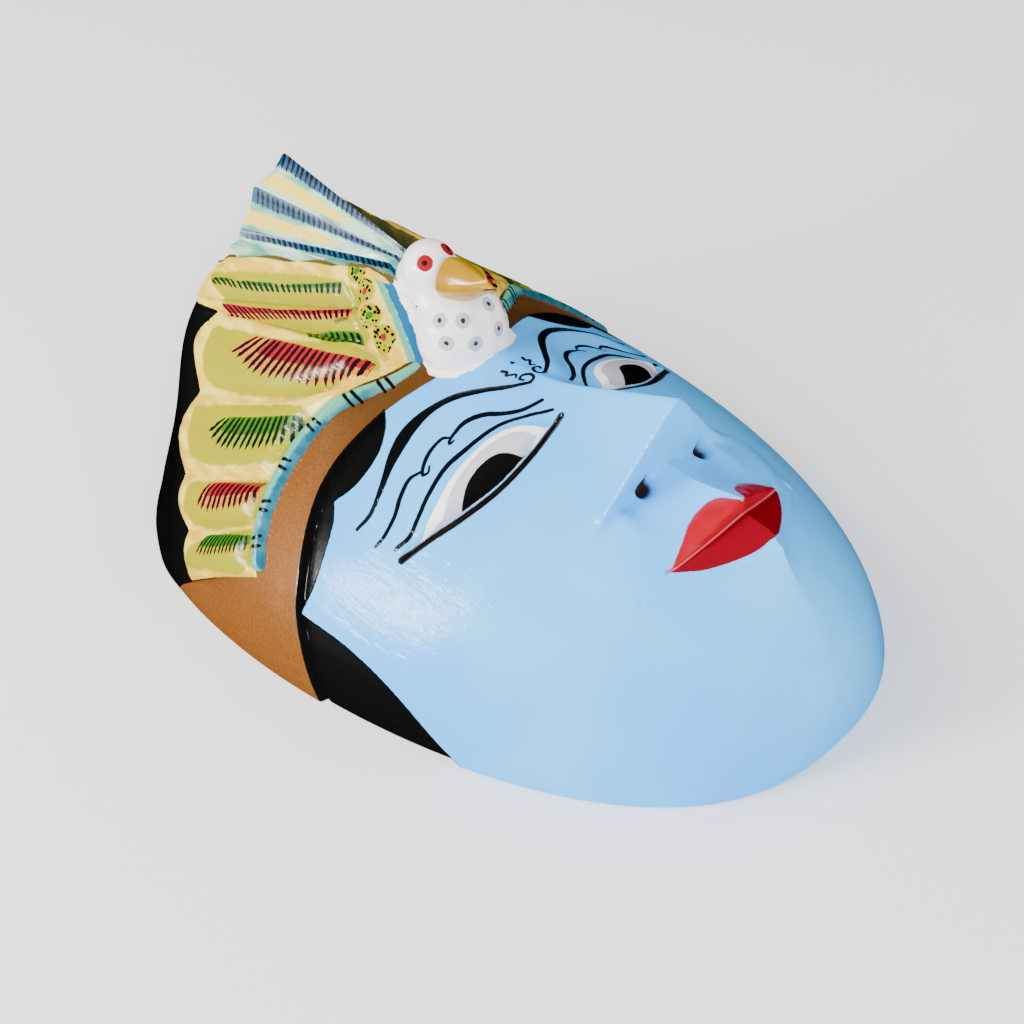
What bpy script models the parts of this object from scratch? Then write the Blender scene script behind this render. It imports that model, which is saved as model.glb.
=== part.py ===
"""Carved wooden topeng mask with a bird headdress, lying face up on its rim.

Frame: metres, +Z is out of the face, +Y runs from the chin to the crown and X is across.
The origin is the middle of the mask's box, on the plane of the rim. The mask is the same
on both sides of X = 0, so every shape below is given for the +X side, in millimetres.

The front is worked out as a distance from the origin in each direction. Every form of the
carving is then a limit or a swelling of that distance, which is how a carver works inwards
from a blank: an egg-shaped bowl, the roof of the headdress, the planes of the nose and of
the mouth, and last the shallow relief.
"""

import bmesh
import bpy
import numpy as np

MM = 0.001

# The bowl
HALF_WIDTH = 73.0
HALF_LENGTH = 108.0
WIDEST = 25.8
CREST = 67.4
WALL = 8.0
BELOW_RIM = 3.0

# The headdress: each wing's top ridge, from the bird's neck to the crown
RIDGE_NECK = np.array([6.6, 26.0, 84.0])
RIDGE_CROWN = np.array([18.8, 86.0, 72.0])
VALLEY_SLOPE = 3.0
WING_RAISE = 1.6
FEATHER_PILLOW = 1.4
FEATHER_GROOVE = 1.5
CROWN_DEPTH = 1.4
BEAD_RAISE = 1.7
BEAD_HALF_WIDTH = 2.6
HAIR_DEPTH = 1.5

# The face
NOSE_TIP = np.array([0.0, -67.4, 84.9])
NOSE_WING = np.array([18.5, -59.0, 57.7])
NOSE_BRIDGE = np.array([0.0, -22.5, 68.0])
NOSE_BASE = np.array([0.0, -62.4, 59.8])
LIP_DIP = np.array([0.0, -83.7, 64.0])
MOUTH_MIDDLE = np.array([0.0, -83.9, 59.5])
MOUTH_CORNER = np.array([18.2, -78.0, 51.3])
LOWER_LIP = np.array([0.0, -91.5, 58.6])
CHIN_SHELF = np.array([0.0, -95.5, 55.0])
SHELF_CORNER = np.array([24.0, -75.5, 45.0])
CHIN_FRONT = np.array([0.0, -100.0, 46.0])
SLIT_WIDTH = 1.6

# The inside: a recess for the wearer's nose
RECESS = np.array([0.0, -50.0, 78.0])
RECESS_DEPTH = 8.0
RECESS_SPREAD = 0.13

# The bird
HEAD = np.array([0.0, 16.0, 84.5])
HEAD_RADII = np.array([6.8, 7.2, 7.0])
BREAST = np.array([0.0, 7.5, 69.0])
BREAST_RADII = np.array([12.0, 10.5, 12.5])
NECK = np.array([0.0, 23.0, 78.0])
NECK_RADII = np.array([6.5, 9.0, 9.0])
BEAK_TIP = np.array([0.0, -8.5, 88.0])
BEAK_ROOT = np.array([0.0, 9.0, 84.5])
BEAK_HALF_WIDTH = 5.2
BEAK_HALF_HEIGHT = 6.5

# The tail: the four ridges of its +X half at the neck and at the end, top ridge first
TAIL_NECK = np.array([[0, 26, 86.5], [1.6, 27, 84.5], [2.8, 29, 82], [3.2, 30, 76]], float)
TAIL_END = np.array([[0, 72.5, 99], [7.4, 78, 88.7], [14.4, 78, 79.4], [18.5, 78, 76.7]], float)
TAIL_VALLEY = 1.3
TAIL_ROOT_DEPTH = 66.0
TAIL_STEPS = 8

# How finely the blank is divided, and how many of its triangles stay after thinning
BLANK_DIVISIONS = 8
HOLLOW_DIVISIONS = 5
KEPT_OF_BLANK = 0.0155
SKEW = 0.0047
KEPT_OF_HOLLOW = 0.25

# Edges of the painted and carved areas, each a smooth curve through these points
HAIRLINE = [
    [(24.5, 12.1, 57.3), (33.0, 6.4, 51.4), (40.0, 7.8, 46.2), (45.0, 11.7, 41.8)],
    [(45.0, 11.7, 41.8), (49.4, 8.6, 37.5), (58.5, 7.1, 27.1), (64.1, 8.6, 19.3)],
    [(64.1, 8.6, 19.3), (63.3, -9.6, 17.5), (63.2, -26.5, 12.0), (61.5, -45.0, 0.0)],
]
BAND_LOWER = [(10.5, 4.0, 64.4), (24.5, 12.1, 57.3), (45.3, 17.7, 41.7), (58.6, 13.4, 27.4)]
BAND_LOWER += [(67.3, 6.7, 13.6), (71.5, -2.0, 0.0)]
BELOW_HAIR = [(71.5, -2.0, -8.0), (69.0, -24.0, -8.0), (61.5, -45.0, -8.0)]
BEAD = [(13.5, 11.8, 63.8), (24.0, 18.6, 59.4), (38.0, 28.4, 48.5), (50.0, 31.0, 37.0)]
BEAD += [(57.5, 30.0, 29.0), (61.7, 27.4, 24.0)]
WING_INNER = [(12.0, 13.0, 66.0), (18.9, 17.0, 62.5), (28.7, 24.0, 57.0), (38.1, 31.0, 48.4)]
WING_INNER += [(49.9, 33.2, 37.5), (59.0, 32.4, 27.4), (64.5, 27.0, 21.0)]
WING_FOOT = [(64.5, 27.0, 21.0), (67.4, 41.3, 14.6), (69.5, 53.5, 7.5)]
FEATHER_TIPS = [
    [(69.5, 53.5, 7.5), (67.6, 58.0, 13.0), (63.6, 57.5, 19.1)],
    [(63.6, 57.5, 19.1), (60.4, 65.8, 22.6), (55.4, 66.5, 28.3)],
    [(55.4, 66.5, 28.3), (49.5, 75.6, 34.5), (41.2, 71.5, 44.5)],
    [(41.2, 71.5, 44.5), (34.0, 80.8, 53.0), (27.3, 76.0, 60.9)],
    [(27.3, 76.0, 60.9), (26.0, 84.0, 62.5), (19.0, 87.0, 72.0)],
]
COLLAR_EDGE = [(6.4, 26.0, 84.0), (8.5, 20.0, 76.0), (12.0, 13.0, 66.0)]
FEATHER_GROOVES = [
    [(63.6, 58.5, 19.1), (57.2, 33.5, 29.4)],
    [(55.4, 67.5, 28.3), (49.0, 34.0, 38.3)],
    [(41.2, 72.5, 44.5), (35.1, 44.9, 51.1), (25.6, 23.2, 60.3)],
    [(27.0, 77.0, 60.9), (21.5, 42.6, 66.1), (16.5, 18.7, 66.3)],
    [(26.0, 84.0, 62.5), (13.9, 33.3, 74.4)],
]
EYE_SLIT = [(6.5, -33.2, 65.5), (15.6, -32.7, 60.4), (24.3, -29.7, 53.7), (32.3, -24.5, 47.4)]
EYE_SLIT += [(40.2, -19.6, 43.4), (46.0, -15.2, 38.6)]
LID_CREASE = [(6.5, -33.2, 65.5), (12.9, -21.0, 62.1), (22.6, -16.0, 57.5), (33.5, -13.5, 50.1)]
LID_CREASE += [(46.0, -15.2, 38.6)]
SOCKET_LINE = [(9.0, -21.5, 64.0), (17.4, -10.9, 60.9), (31.0, -7.2, 52.3), (45.0, -6.5, 40.0)]
BROW_LINE = [(6.0, -17.5, 66.0), (15.1, -5.4, 62.2), (29.1, -0.8, 54.0), (44.0, -1.0, 42.0)]
LIP_UPPER = [(0.0, -82.4, 64.2), (3.2, -81.6, 63.4), (11.0, -78.3, 57.5), (18.2, -78.0, 51.3)]
LIP_LOWER = [(18.2, -78.0, 51.3), (10.5, -88.0, 54.5), (0.0, -92.3, 58.0)]
MOUTH_LINE = [(0.0, -83.9, 59.5), (18.2, -78.0, 51.3), (24.5, -74.2, 45.3)]
NOSTRIL = [(9.2, -64.8, 67.0), (9.8, -62.0, 58.0)]


def unit(vectors):
    """Directions of the given vectors."""
    lengths = np.linalg.norm(vectors, axis=-1, keepdims=True)
    return vectors / np.maximum(lengths, 1e-9)


def ramp(low, high, value):
    """Smooth rise from 0 at low to 1 at high."""
    share = np.clip((value - low) / (high - low), 0.0, 1.0)
    return share * share * (3.0 - 2.0 * share)


def lesser(first, second, blend):
    """The smaller of two distances, with a rounded change over the blend."""
    share = np.clip(0.5 + 0.5 * (second - first) / blend, 0.0, 1.0)
    return second * (1.0 - share) + first * share - blend * share * (1.0 - share)


def greater(first, second, blend):
    """The larger of two distances, with a rounded change over the blend."""
    return -lesser(-first, -second, blend)


def to_plane(directions, normal, point):
    """Distance from the origin to a plane, along each direction that leaves through it."""
    normal = unit(np.asarray(normal, float))
    facing = directions @ normal
    reach = normal @ np.asarray(point, float)
    return np.where(facing > 0.02, reach / np.maximum(facing, 0.02), 400.0)


def plane_through(first, second, third):
    """Outward normal and a point of the plane through three points of the front."""
    normal = unit(np.cross(second - first, third - first))
    return (normal if normal @ first > 0 else -normal), first


def falling(share, start, end):
    """1 at the widest line, 0 at the end of the mask, with the two powers of its curve."""
    return np.clip(1.0 - share**start, 0.0, None) ** (1.0 / end)


def egg_level(points):
    """Under 1 inside the bowl's egg and over 1 outside it."""
    x, y, z = np.abs(points[:, 0]), points[:, 1], points[:, 2]
    lower = y < WIDEST
    length = np.where(lower, HALF_LENGTH + WIDEST, HALF_LENGTH - WIDEST)
    share = np.abs(y - WIDEST) / length
    past = np.where(share > 1.0, 9.0, 0.0)
    share = np.minimum(share, 1.0)
    width = np.where(lower, falling(share, 1.77, 2.424), falling(share, 2.4, 3.73))
    height = np.where(lower, falling(share, 4.143, 3.634), falling(share, 4.0, 3.0))
    across = x / np.maximum(HALF_WIDTH * width, 1e-3)
    up = np.abs(z) / np.maximum(CREST * height, 1e-3)
    return past + across**1.417 + up**1.493


def egg(directions):
    """Distance to the bowl's egg, found by halving."""
    near = np.zeros(len(directions))
    far = np.full(len(directions), 160.0)
    for _ in range(24):
        middle = (near + far) / 2.0
        inside = egg_level(directions * middle[:, None]) < 1.0
        near = np.where(inside, middle, near)
        far = np.where(inside, far, middle)
    return (near + far) / 2.0


def roof(directions):
    """Distance to the headdress: sloping sides, the bird's breast end and the crown end."""
    face = to_plane(directions, (0.752, -0.021, 0.659), RIDGE_NECK)
    breast_end = to_plane(directions, (0.557, -0.586, 0.590), (12.0, 11.0, 63.0))
    crown_slope = to_plane(directions, (0.0, 0.87, 0.5), (0.0, 98.0, 50.0))
    crown_wall = to_plane(directions, (0.0, 1.0, 0.1), (0.0, HALF_LENGTH - 2.0, 0.0))
    corner = to_plane(directions, (1.0, 0.7, 0.4), (55.0, 84.0, 12.0))
    flank = to_plane(directions, (1.0, 0.0, 0.12), (69.0, 0.0, 0.0))
    top = lesser(face, breast_end, 4.0)
    top = lesser(top, lesser(crown_slope, crown_wall, 6.0), 8.0)
    return lesser(lesser(top, corner, 8.0), flank, 6.0)


def beside_ridge(points):
    """0 in the valley between the wings, 1 from each wing's top ridge outwards."""
    x, y = points[:, 0], points[:, 1]
    along = (y - RIDGE_NECK[1]) / (RIDGE_CROWN[1] - RIDGE_NECK[1])
    ridge = RIDGE_NECK[0] + (RIDGE_CROWN[0] - RIDGE_NECK[0]) * along
    wall = ramp(ridge - VALLEY_SLOPE, ridge, x)
    return wall + (1.0 - wall) * ramp(20.0, 8.0, y)


def nose(directions):
    """Distance to the nose: two side planes and the flat underside."""
    side = to_plane(directions, *plane_through(NOSE_TIP, NOSE_BRIDGE, NOSE_WING))
    across = np.array([1.0, 0.0, 0.0])
    under = to_plane(directions, *plane_through(NOSE_TIP, NOSE_TIP + across, NOSE_WING))
    return lesser(side, under, 4.0)


def mouth(directions):
    """Distances to the upper lip's block and to the lower lip's shelf."""
    philtrum = to_plane(directions, *plane_through(NOSE_BASE, LIP_DIP, MOUTH_CORNER))
    lip_front = to_plane(directions, *plane_through(LIP_DIP, MOUTH_MIDDLE, MOUTH_CORNER))
    lip_top = to_plane(directions, *plane_through(MOUTH_MIDDLE, LOWER_LIP, MOUTH_CORNER))
    shelf = to_plane(directions, *plane_through(LOWER_LIP, CHIN_SHELF, SHELF_CORNER))
    under = to_plane(directions, *plane_through(CHIN_SHELF, CHIN_FRONT, SHELF_CORNER))
    upper = lesser(philtrum, lip_front, 1.5)
    chin = to_plane(directions, (0.0, -0.95, 0.3), CHIN_FRONT)
    lower = lesser(lesser(lesser(lip_top, shelf, 1.0), under, 2.0), chin, 4.0)
    return philtrum, upper, lower


def form(directions):
    """Distance to the front without its shallow relief."""
    halves = directions * np.array([1.0, 1.0, 1.0])
    halves[:, 0] = np.abs(halves[:, 0])
    bowl = egg(halves)
    crest = greater(bowl, roof(halves), 3.0)
    distance = bowl + (crest - bowl) * beside_ridge(halves * crest[:, None])
    points = halves * distance[:, None]
    below_eyes = ramp(0.0, -12.0, points[:, 1])
    philtrum, upper, lower = mouth(halves)
    window = ramp(16.0, 8.0, points[:, 0]) * ramp(-54.0, -60.0, points[:, 1])
    window *= ramp(-88.0, -80.0, points[:, 1])
    distance = distance + np.minimum(philtrum - distance, 0.0) * window
    near_mouth = ramp(31.0, 20.0, points[:, 0]) * ramp(-52.0, -60.0, points[:, 1])
    near_mouth *= ramp(26.0, 46.0, points[:, 2])
    lips = greater(upper, lower, 0.6)
    distance = distance + (greater(distance, lips, 2.5) - distance) * near_mouth
    return distance + (greater(distance, nose(halves), 2.5) - distance) * below_eyes


def smooth_curve(points, steps=10):
    """Points along a smooth curve through the given ones."""
    points = np.asarray(points, float)
    ends = np.vstack([2 * points[0] - points[1], points, 2 * points[-1] - points[-2]])
    share = np.linspace(0.0, 1.0, steps, endpoint=False)[:, None]
    pieces = []
    for a, b, c, d in zip(ends, ends[1:], ends[2:], ends[3:]):
        bend = 2 * a - 5 * b + 4 * c - d
        twist = -a + 3 * b - 3 * c + d
        pieces.append(0.5 * (2 * b + (c - a) * share + bend * share**2 + twist * share**3))
    return np.vstack(pieces + [points[-1:]])


def on_form(points):
    """The given points moved along their directions onto the form."""
    directions = unit(points)
    return directions * form(directions)[:, None]


def distance_to_curve(points, curve):
    """Distance from each point to a line of straight pieces."""
    nearest = np.full(len(points), 1e9)
    for start, end in zip(curve, curve[1:]):
        piece = end - start
        share = (points - start) @ piece / max(piece @ piece, 1e-12)
        foot = start + np.clip(share, 0.0, 1.0)[:, None] * piece
        nearest = np.minimum(nearest, np.linalg.norm(points - foot, axis=1))
    return nearest


def unrolled(vectors):
    """The front laid flat around the direction straight out of the face."""
    directions = unit(vectors)
    angle = np.arccos(np.clip(directions[:, 2], -1.0, 1.0))
    flat = directions[:, :2]
    return flat * (angle / np.maximum(np.linalg.norm(flat, axis=1), 1e-9))[:, None]


def inside(points, outline):
    """Whether each point lies inside a closed outline, on the unrolled front."""
    spots, corners = unrolled(points), unrolled(outline)
    crossed = np.zeros(len(spots), bool)
    for a, b in zip(corners, np.roll(corners, -1, axis=0)):
        beside = (a[1] > spots[:, 1]) != (b[1] > spots[:, 1])
        rise = b[1] - a[1] if b[1] != a[1] else 1e-12
        reach = a[0] + (spots[:, 1] - a[1]) * (b[0] - a[0]) / rise
        crossed ^= beside & (spots[:, 0] < reach)
    return crossed


def edge_distance(points, curves):
    """Distance into the area that the curves enclose: positive inside, negative outside."""
    outline = on_form(np.vstack([smooth_curve(curve) for curve in curves]))
    closed = np.vstack([outline, outline[:1]])
    return distance_to_curve(points, closed) * np.where(inside(points, outline), 1.0, -1.0)


def line_distance(points, curve):
    """Distance to one smooth curve on the form."""
    return distance_to_curve(points, on_form(smooth_curve(curve)))


def relief(points):
    """Height of the shallow carving over the form."""
    face_edge = [curve[::-1] for curve in HAIRLINE[::-1]]
    hair = edge_distance(points, [BAND_LOWER[1:], BELOW_HAIR, *face_edge])
    height = -HAIR_DEPTH * ramp(-0.2, 1.8, hair)
    bead = np.clip(1.0 - (line_distance(points, BEAD) / BEAD_HALF_WIDTH) ** 2, 0.0, 1.0)
    height += BEAD_RAISE * np.sqrt(bead)
    crest = [RIDGE_CROWN, RIDGE_NECK]
    wing = edge_distance(points, [WING_INNER, WING_FOOT, *FEATHER_TIPS, crest, COLLAR_EDGE])
    grooves = np.min([line_distance(points, curve) for curve in FEATHER_GROOVES], axis=0)
    pillow = FEATHER_PILLOW * ramp(0.0, 5.0, np.minimum(grooves, np.maximum(wing, 0.0)))
    cut = FEATHER_GROOVE * np.exp(-((grooves / 1.3) ** 2))
    crown = ramp(0.2, -1.6, wing) * ramp(30.0, 50.0, points[:, 1]) * ramp(0.0, 12.0, points[:, 2])
    height -= CROWN_DEPTH * crown * beside_ridge(points)
    lift = WING_RAISE * ramp(4.0, 30.0, distance_to_curve(points, np.array(crest)))
    height += ramp(-0.2, 1.6, wing) * (lift - 0.7 * FEATHER_PILLOW + pillow - cut)
    eye = edge_distance(points, [EYE_SLIT, LID_CREASE[::-1]])
    slit = line_distance(points, EYE_SLIT)
    lid = 1.2 * ramp(0.0, 6.0, eye) - 2.0 * np.exp(-((slit / 2.6) ** 2))
    height += ramp(-1.0, 1.0, eye) * lid
    height += 1.0 * np.exp(-((line_distance(points, BROW_LINE) / 3.5) ** 2))
    height -= 0.9 * np.exp(-((line_distance(points, SOCKET_LINE) / 3.0) ** 2))
    lips = edge_distance(points, [LIP_UPPER, LIP_LOWER])
    height += 0.7 * ramp(-0.6, 0.8, lips)
    height -= 0.9 * np.exp(-((line_distance(points, MOUTH_LINE) / 1.1) ** 2))
    height -= 2.6 * np.exp(-((line_distance(points, NOSTRIL) / 1.7) ** 2))
    return height


def front(directions):
    """Distance to the finished front."""
    halves = directions * np.array([1.0, 1.0, 1.0])
    halves[:, 0] = np.abs(halves[:, 0])
    distance = form(halves)
    return distance + relief(halves * distance[:, None])


def hollow(directions):
    """Distance to the inside, which is smooth, with a hollow for the wearer's nose."""
    turn = np.arccos(np.clip(directions @ unit(RECESS), -1.0, 1.0))
    return egg(directions) - WALL + RECESS_DEPTH * np.exp(-((turn / RECESS_SPREAD) ** 2))


def bowl_mesh(name, divisions, reach, below):
    """The +X half of a bowl at the given reach, with a straight wall and floor below the rim."""
    blank = bmesh.new()
    bmesh.ops.create_icosphere(blank, subdivisions=divisions, radius=1.0)
    everything = blank.verts[:] + blank.edges[:] + blank.faces[:]
    bmesh.ops.bisect_plane(blank, geom=everything, plane_co=(0, 0, 0), plane_no=(1, 0, 0),
                           clear_inner=True)
    bmesh.ops.remove_doubles(blank, verts=blank.verts, dist=0.003)
    for vertex in blank.verts:
        vertex.co.x = 0.0 if abs(vertex.co.x) < 0.003 else vertex.co.x
    slivers = [face for face in blank.faces if max(v.co.x for v in face.verts) == 0.0]
    bmesh.ops.delete(blank, geom=slivers, context="FACES")
    sphere = np.array([vertex.co[:] for vertex in blank.verts])
    height = sphere[:, 2] + SKEW
    directions = unit(sphere * [1.0, 1.0, 0.0] + np.outer(np.maximum(height, 0.0), [0.0, 0.0, 1.0]))
    points = directions * reach(directions)[:, None]
    floor = height < 0.0
    points[floor] *= np.linalg.norm(sphere[floor, :2], axis=1)[:, None]
    points[floor, 2] = -below * np.minimum(-height[floor] / 0.05, 1.0)
    for vertex, point in zip(blank.verts, points * MM):
        vertex.co = point
    bmesh.ops.recalc_face_normals(blank, faces=blank.faces)
    mesh = bpy.data.meshes.new(name)
    blank.to_mesh(mesh)
    blank.free()
    return mesh


def ball_mesh(name, centre, radii):
    """An egg-shaped ball of the bird."""
    ball = bmesh.new()
    bmesh.ops.create_uvsphere(ball, u_segments=18, v_segments=11, radius=1.0)
    for vertex in ball.verts:
        vertex.co = (np.array(vertex.co) * radii + centre) * MM
    mesh = bpy.data.meshes.new(name)
    ball.to_mesh(mesh)
    ball.free()
    return mesh


def beak_mesh(name):
    """The beak: a cone on an upright oval foot, bent down a little at its tip."""
    beak = bmesh.new()
    bmesh.ops.create_cone(beak, cap_ends=True, segments=14, radius1=1.0, radius2=0.04, depth=1.0)
    sides = [edge for edge in beak.edges if abs(edge.verts[0].co.z - edge.verts[1].co.z) > 0.5]
    bmesh.ops.subdivide_edges(beak, edges=sides, cuts=4)
    for vertex in beak.verts:
        along = vertex.co.z + 0.5
        swell = 1.0 + 0.35 * np.sin(np.pi * along)
        middle = BEAK_ROOT + (BEAK_TIP - BEAK_ROOT) * along
        side = BEAK_HALF_WIDTH * swell * vertex.co.x
        up = BEAK_HALF_HEIGHT * swell * vertex.co.y
        vertex.co = (middle + np.array([side, 0.0, up])) * MM
    bmesh.ops.recalc_face_normals(beak, faces=beak.faces)
    mesh = bpy.data.meshes.new(name)
    beak.to_mesh(mesh)
    beak.free()
    return mesh


def tail_row(share):
    """One row across the tail, from its -X edge over the top ridge to its +X edge."""
    ridges = TAIL_NECK + (TAIL_END - TAIL_NECK) * share
    half = [ridges[0]]
    for upper, lower in zip(ridges, ridges[1:]):
        valley = 0.45 * upper + 0.55 * lower
        half += [valley - TAIL_VALLEY * share * np.array([0.5, 0.0, 0.87]), lower]
    other = [point * np.array([-1.0, 1.0, 1.0]) for point in half[:0:-1]]
    return np.array(other + half)


def tail_mesh(name):
    """The spread tail: ridged above, solid down into the valley between the wings."""
    tail = bmesh.new()
    rows = []
    for step in range(TAIL_STEPS + 1):
        above = tail_row(step / TAIL_STEPS)
        below = above * np.array([0.85, 1.0, 0.0]) + np.array([0.0, 0.0, TAIL_ROOT_DEPTH])
        ring = [tail.verts.new(point * MM) for point in above]
        ring += [tail.verts.new(point * MM) for point in below[::-1]]
        rows.append(ring)
    for first, second in zip(rows, rows[1:]):
        for k in range(len(first)):
            after = (k + 1) % len(first)
            tail.faces.new((first[k], first[after], second[after], second[k]))
    for ring in (rows[0], rows[-1]):
        count = len(ring)
        for k in range(count // 2 - 1):
            tail.faces.new((ring[k], ring[k + 1], ring[count - 2 - k], ring[count - 1 - k]))
    bmesh.ops.triangulate(tail, faces=tail.faces)
    bmesh.ops.recalc_face_normals(tail, faces=tail.faces)
    mesh = bpy.data.meshes.new(name)
    tail.to_mesh(mesh)
    tail.free()
    return mesh


def slit_mesh(name, curve, width):
    """A thin blade along a curve, which cuts straight in towards the origin."""
    line = on_form(smooth_curve(curve, 4))
    blade = bmesh.new()
    rings = []
    for k, point in enumerate(line):
        onward = unit(line[min(k + 1, len(line) - 1)] - line[max(k - 1, 0)])
        outward = unit(point)
        across = unit(np.cross(onward, outward))
        half = width / 2 * np.sin(np.pi * (0.06 + 0.88 * k / (len(line) - 1))) ** 0.5
        corners = [(half, 8.0), (-half, 8.0), (-half, -20.0), (half, -20.0)]
        rings.append([blade.verts.new((point + across * a + outward * b) * MM) for a, b in corners])
    for first, second in zip(rings, rings[1:]):
        for k in range(4):
            after = (k + 1) % 4
            blade.faces.new((first[k], first[after], second[after], second[k]))
    blade.faces.new(rings[0])
    blade.faces.new(rings[-1])
    bmesh.ops.triangulate(blade, faces=blade.faces)
    bmesh.ops.recalc_face_normals(blade, faces=blade.faces)
    mesh = bpy.data.meshes.new(name)
    blade.to_mesh(mesh)
    blade.free()
    return mesh


def box_mesh(name, low, high):
    """A box between two corners."""
    box = bmesh.new()
    bmesh.ops.create_cube(box, size=1.0)
    low, high = np.array(low), np.array(high)
    for vertex in box.verts:
        vertex.co = ((low + high) / 2 + np.array(vertex.co) * (high - low)) * MM
    mesh = bpy.data.meshes.new(name)
    box.to_mesh(mesh)
    box.free()
    return mesh


def painted_wood():
    """Gloss paint on wood, in the face's blue."""
    material = bpy.data.materials.new("painted_wood")
    material.use_nodes = True
    shader = material.node_tree.nodes["Principled BSDF"]
    shader.inputs["Base Color"].default_value = (0.36, 0.58, 0.83, 1.0)
    shader.inputs["Roughness"].default_value = 0.3
    shader.inputs["Metallic"].default_value = 0.0
    return material


def mirror_and_thin(piece, share):
    """Completes the -X half, then keeps only the given share of the triangles."""
    other_half = piece.modifiers.new("other_half", "MIRROR")
    other_half.merge_threshold = 0.00005
    thin = piece.modifiers.new("thin", "DECIMATE")
    thin.ratio = share


def add_guide(collection, mesh):
    """A shape that only cuts or joins the mask, drawn as wires and never rendered."""
    guide = bpy.data.objects.new(mesh.name, mesh)
    guide.hide_render = True
    guide.display_type = "WIRE"
    collection.objects.link(guide)
    return guide


def combine(piece, operation, guide):
    """Joins a guide to the piece, or cuts it away."""
    step = piece.modifiers.new(f"{operation.lower()}_{guide.name}", "BOOLEAN")
    step.operation = operation
    step.solver = "EXACT"
    step.object = guide


def build():
    """Makes the mask."""
    for item in list(bpy.data.objects):
        bpy.data.objects.remove(item)
    parts = bpy.data.collections.new("topeng_mask")
    guides = bpy.data.collections.new("shaping")
    bpy.context.scene.collection.children.link(parts)
    bpy.context.scene.collection.children.link(guides)

    mask = bpy.data.objects.new("mask", bowl_mesh("mask", BLANK_DIVISIONS, front, BELOW_RIM))
    parts.objects.link(mask)
    mask.data.materials.append(painted_wood())
    mirror_and_thin(mask, KEPT_OF_BLANK)

    for mesh in [
        ball_mesh("bird_breast", BREAST, BREAST_RADII),
        ball_mesh("bird_neck", NECK, NECK_RADII),
        ball_mesh("bird_head", HEAD, HEAD_RADII),
        beak_mesh("bird_beak"),
        tail_mesh("bird_tail"),
    ]:
        combine(mask, "UNION", add_guide(guides, mesh))

    hollow_guide = add_guide(guides, bowl_mesh("hollow", HOLLOW_DIVISIONS, hollow, 3 * BELOW_RIM))
    mirror_and_thin(hollow_guide, KEPT_OF_HOLLOW)
    combine(mask, "DIFFERENCE", hollow_guide)
    mirror = np.array([-1.0, 1.0, 1.0])
    for side, turn in (("left", np.ones(3)), ("right", mirror)):
        slit = slit_mesh(f"eye_slit_{side}", np.array(EYE_SLIT) * turn, SLIT_WIDTH)
        combine(mask, "DIFFERENCE", add_guide(guides, slit))
    table = box_mesh("table", (-200.0, -200.0, -40.0), (200.0, 200.0, 0.0))
    combine(mask, "DIFFERENCE", add_guide(guides, table))


build()
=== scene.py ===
"""Looks of the topeng mask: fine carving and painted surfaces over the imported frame."""

import bmesh
import bpy
import numpy as np
from mathutils import Matrix


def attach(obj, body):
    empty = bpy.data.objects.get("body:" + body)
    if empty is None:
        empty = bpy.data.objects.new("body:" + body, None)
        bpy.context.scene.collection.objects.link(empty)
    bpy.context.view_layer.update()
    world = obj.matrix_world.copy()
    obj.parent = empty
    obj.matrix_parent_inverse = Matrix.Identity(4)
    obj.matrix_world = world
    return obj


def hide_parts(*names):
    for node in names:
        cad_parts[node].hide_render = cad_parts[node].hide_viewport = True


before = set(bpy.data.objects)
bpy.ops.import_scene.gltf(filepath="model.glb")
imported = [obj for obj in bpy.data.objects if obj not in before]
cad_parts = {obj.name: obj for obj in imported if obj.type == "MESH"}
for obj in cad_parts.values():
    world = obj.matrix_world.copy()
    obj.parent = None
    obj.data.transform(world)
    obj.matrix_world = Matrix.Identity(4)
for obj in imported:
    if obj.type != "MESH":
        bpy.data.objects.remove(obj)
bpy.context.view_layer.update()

MM = 0.001
MIRROR = np.array([-1.0, 1.0, 1.0])

# The bowl and the headdress, in millimetres, as in the solid
HALF_WIDTH = 73.0
HALF_LENGTH = 108.0
WIDEST = 25.8
CREST = 67.4
WALL = 8.0
RIDGE_NECK = np.array([6.6, 26.0, 84.0])
RIDGE_CROWN = np.array([18.8, 86.0, 72.0])
VALLEY_SLOPE = 3.0
NOSE_TIP = np.array([0.0, -67.4, 84.9])
NOSE_WING = np.array([18.5, -59.0, 57.7])
NOSE_BRIDGE = np.array([0.0, -22.5, 68.0])
NOSE_BASE = np.array([0.0, -62.4, 59.8])
LIP_DIP = np.array([0.0, -83.7, 64.0])
MOUTH_MIDDLE = np.array([0.0, -83.9, 59.5])
MOUTH_CORNER = np.array([18.2, -78.0, 51.3])
LOWER_LIP = np.array([0.0, -91.5, 58.6])
CHIN_SHELF = np.array([0.0, -95.5, 55.0])
SHELF_CORNER = np.array([24.0, -75.5, 45.0])
SHELF_EDGE = [(0.0, -95.0, 55.4), (12.0, -85.6, 50.4), (24.0, -75.5, 45.0)]
CHIN_FRONT = np.array([0.0, -100.0, 46.0])
RECESS = np.array([0.0, -50.0, 78.0])

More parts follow.
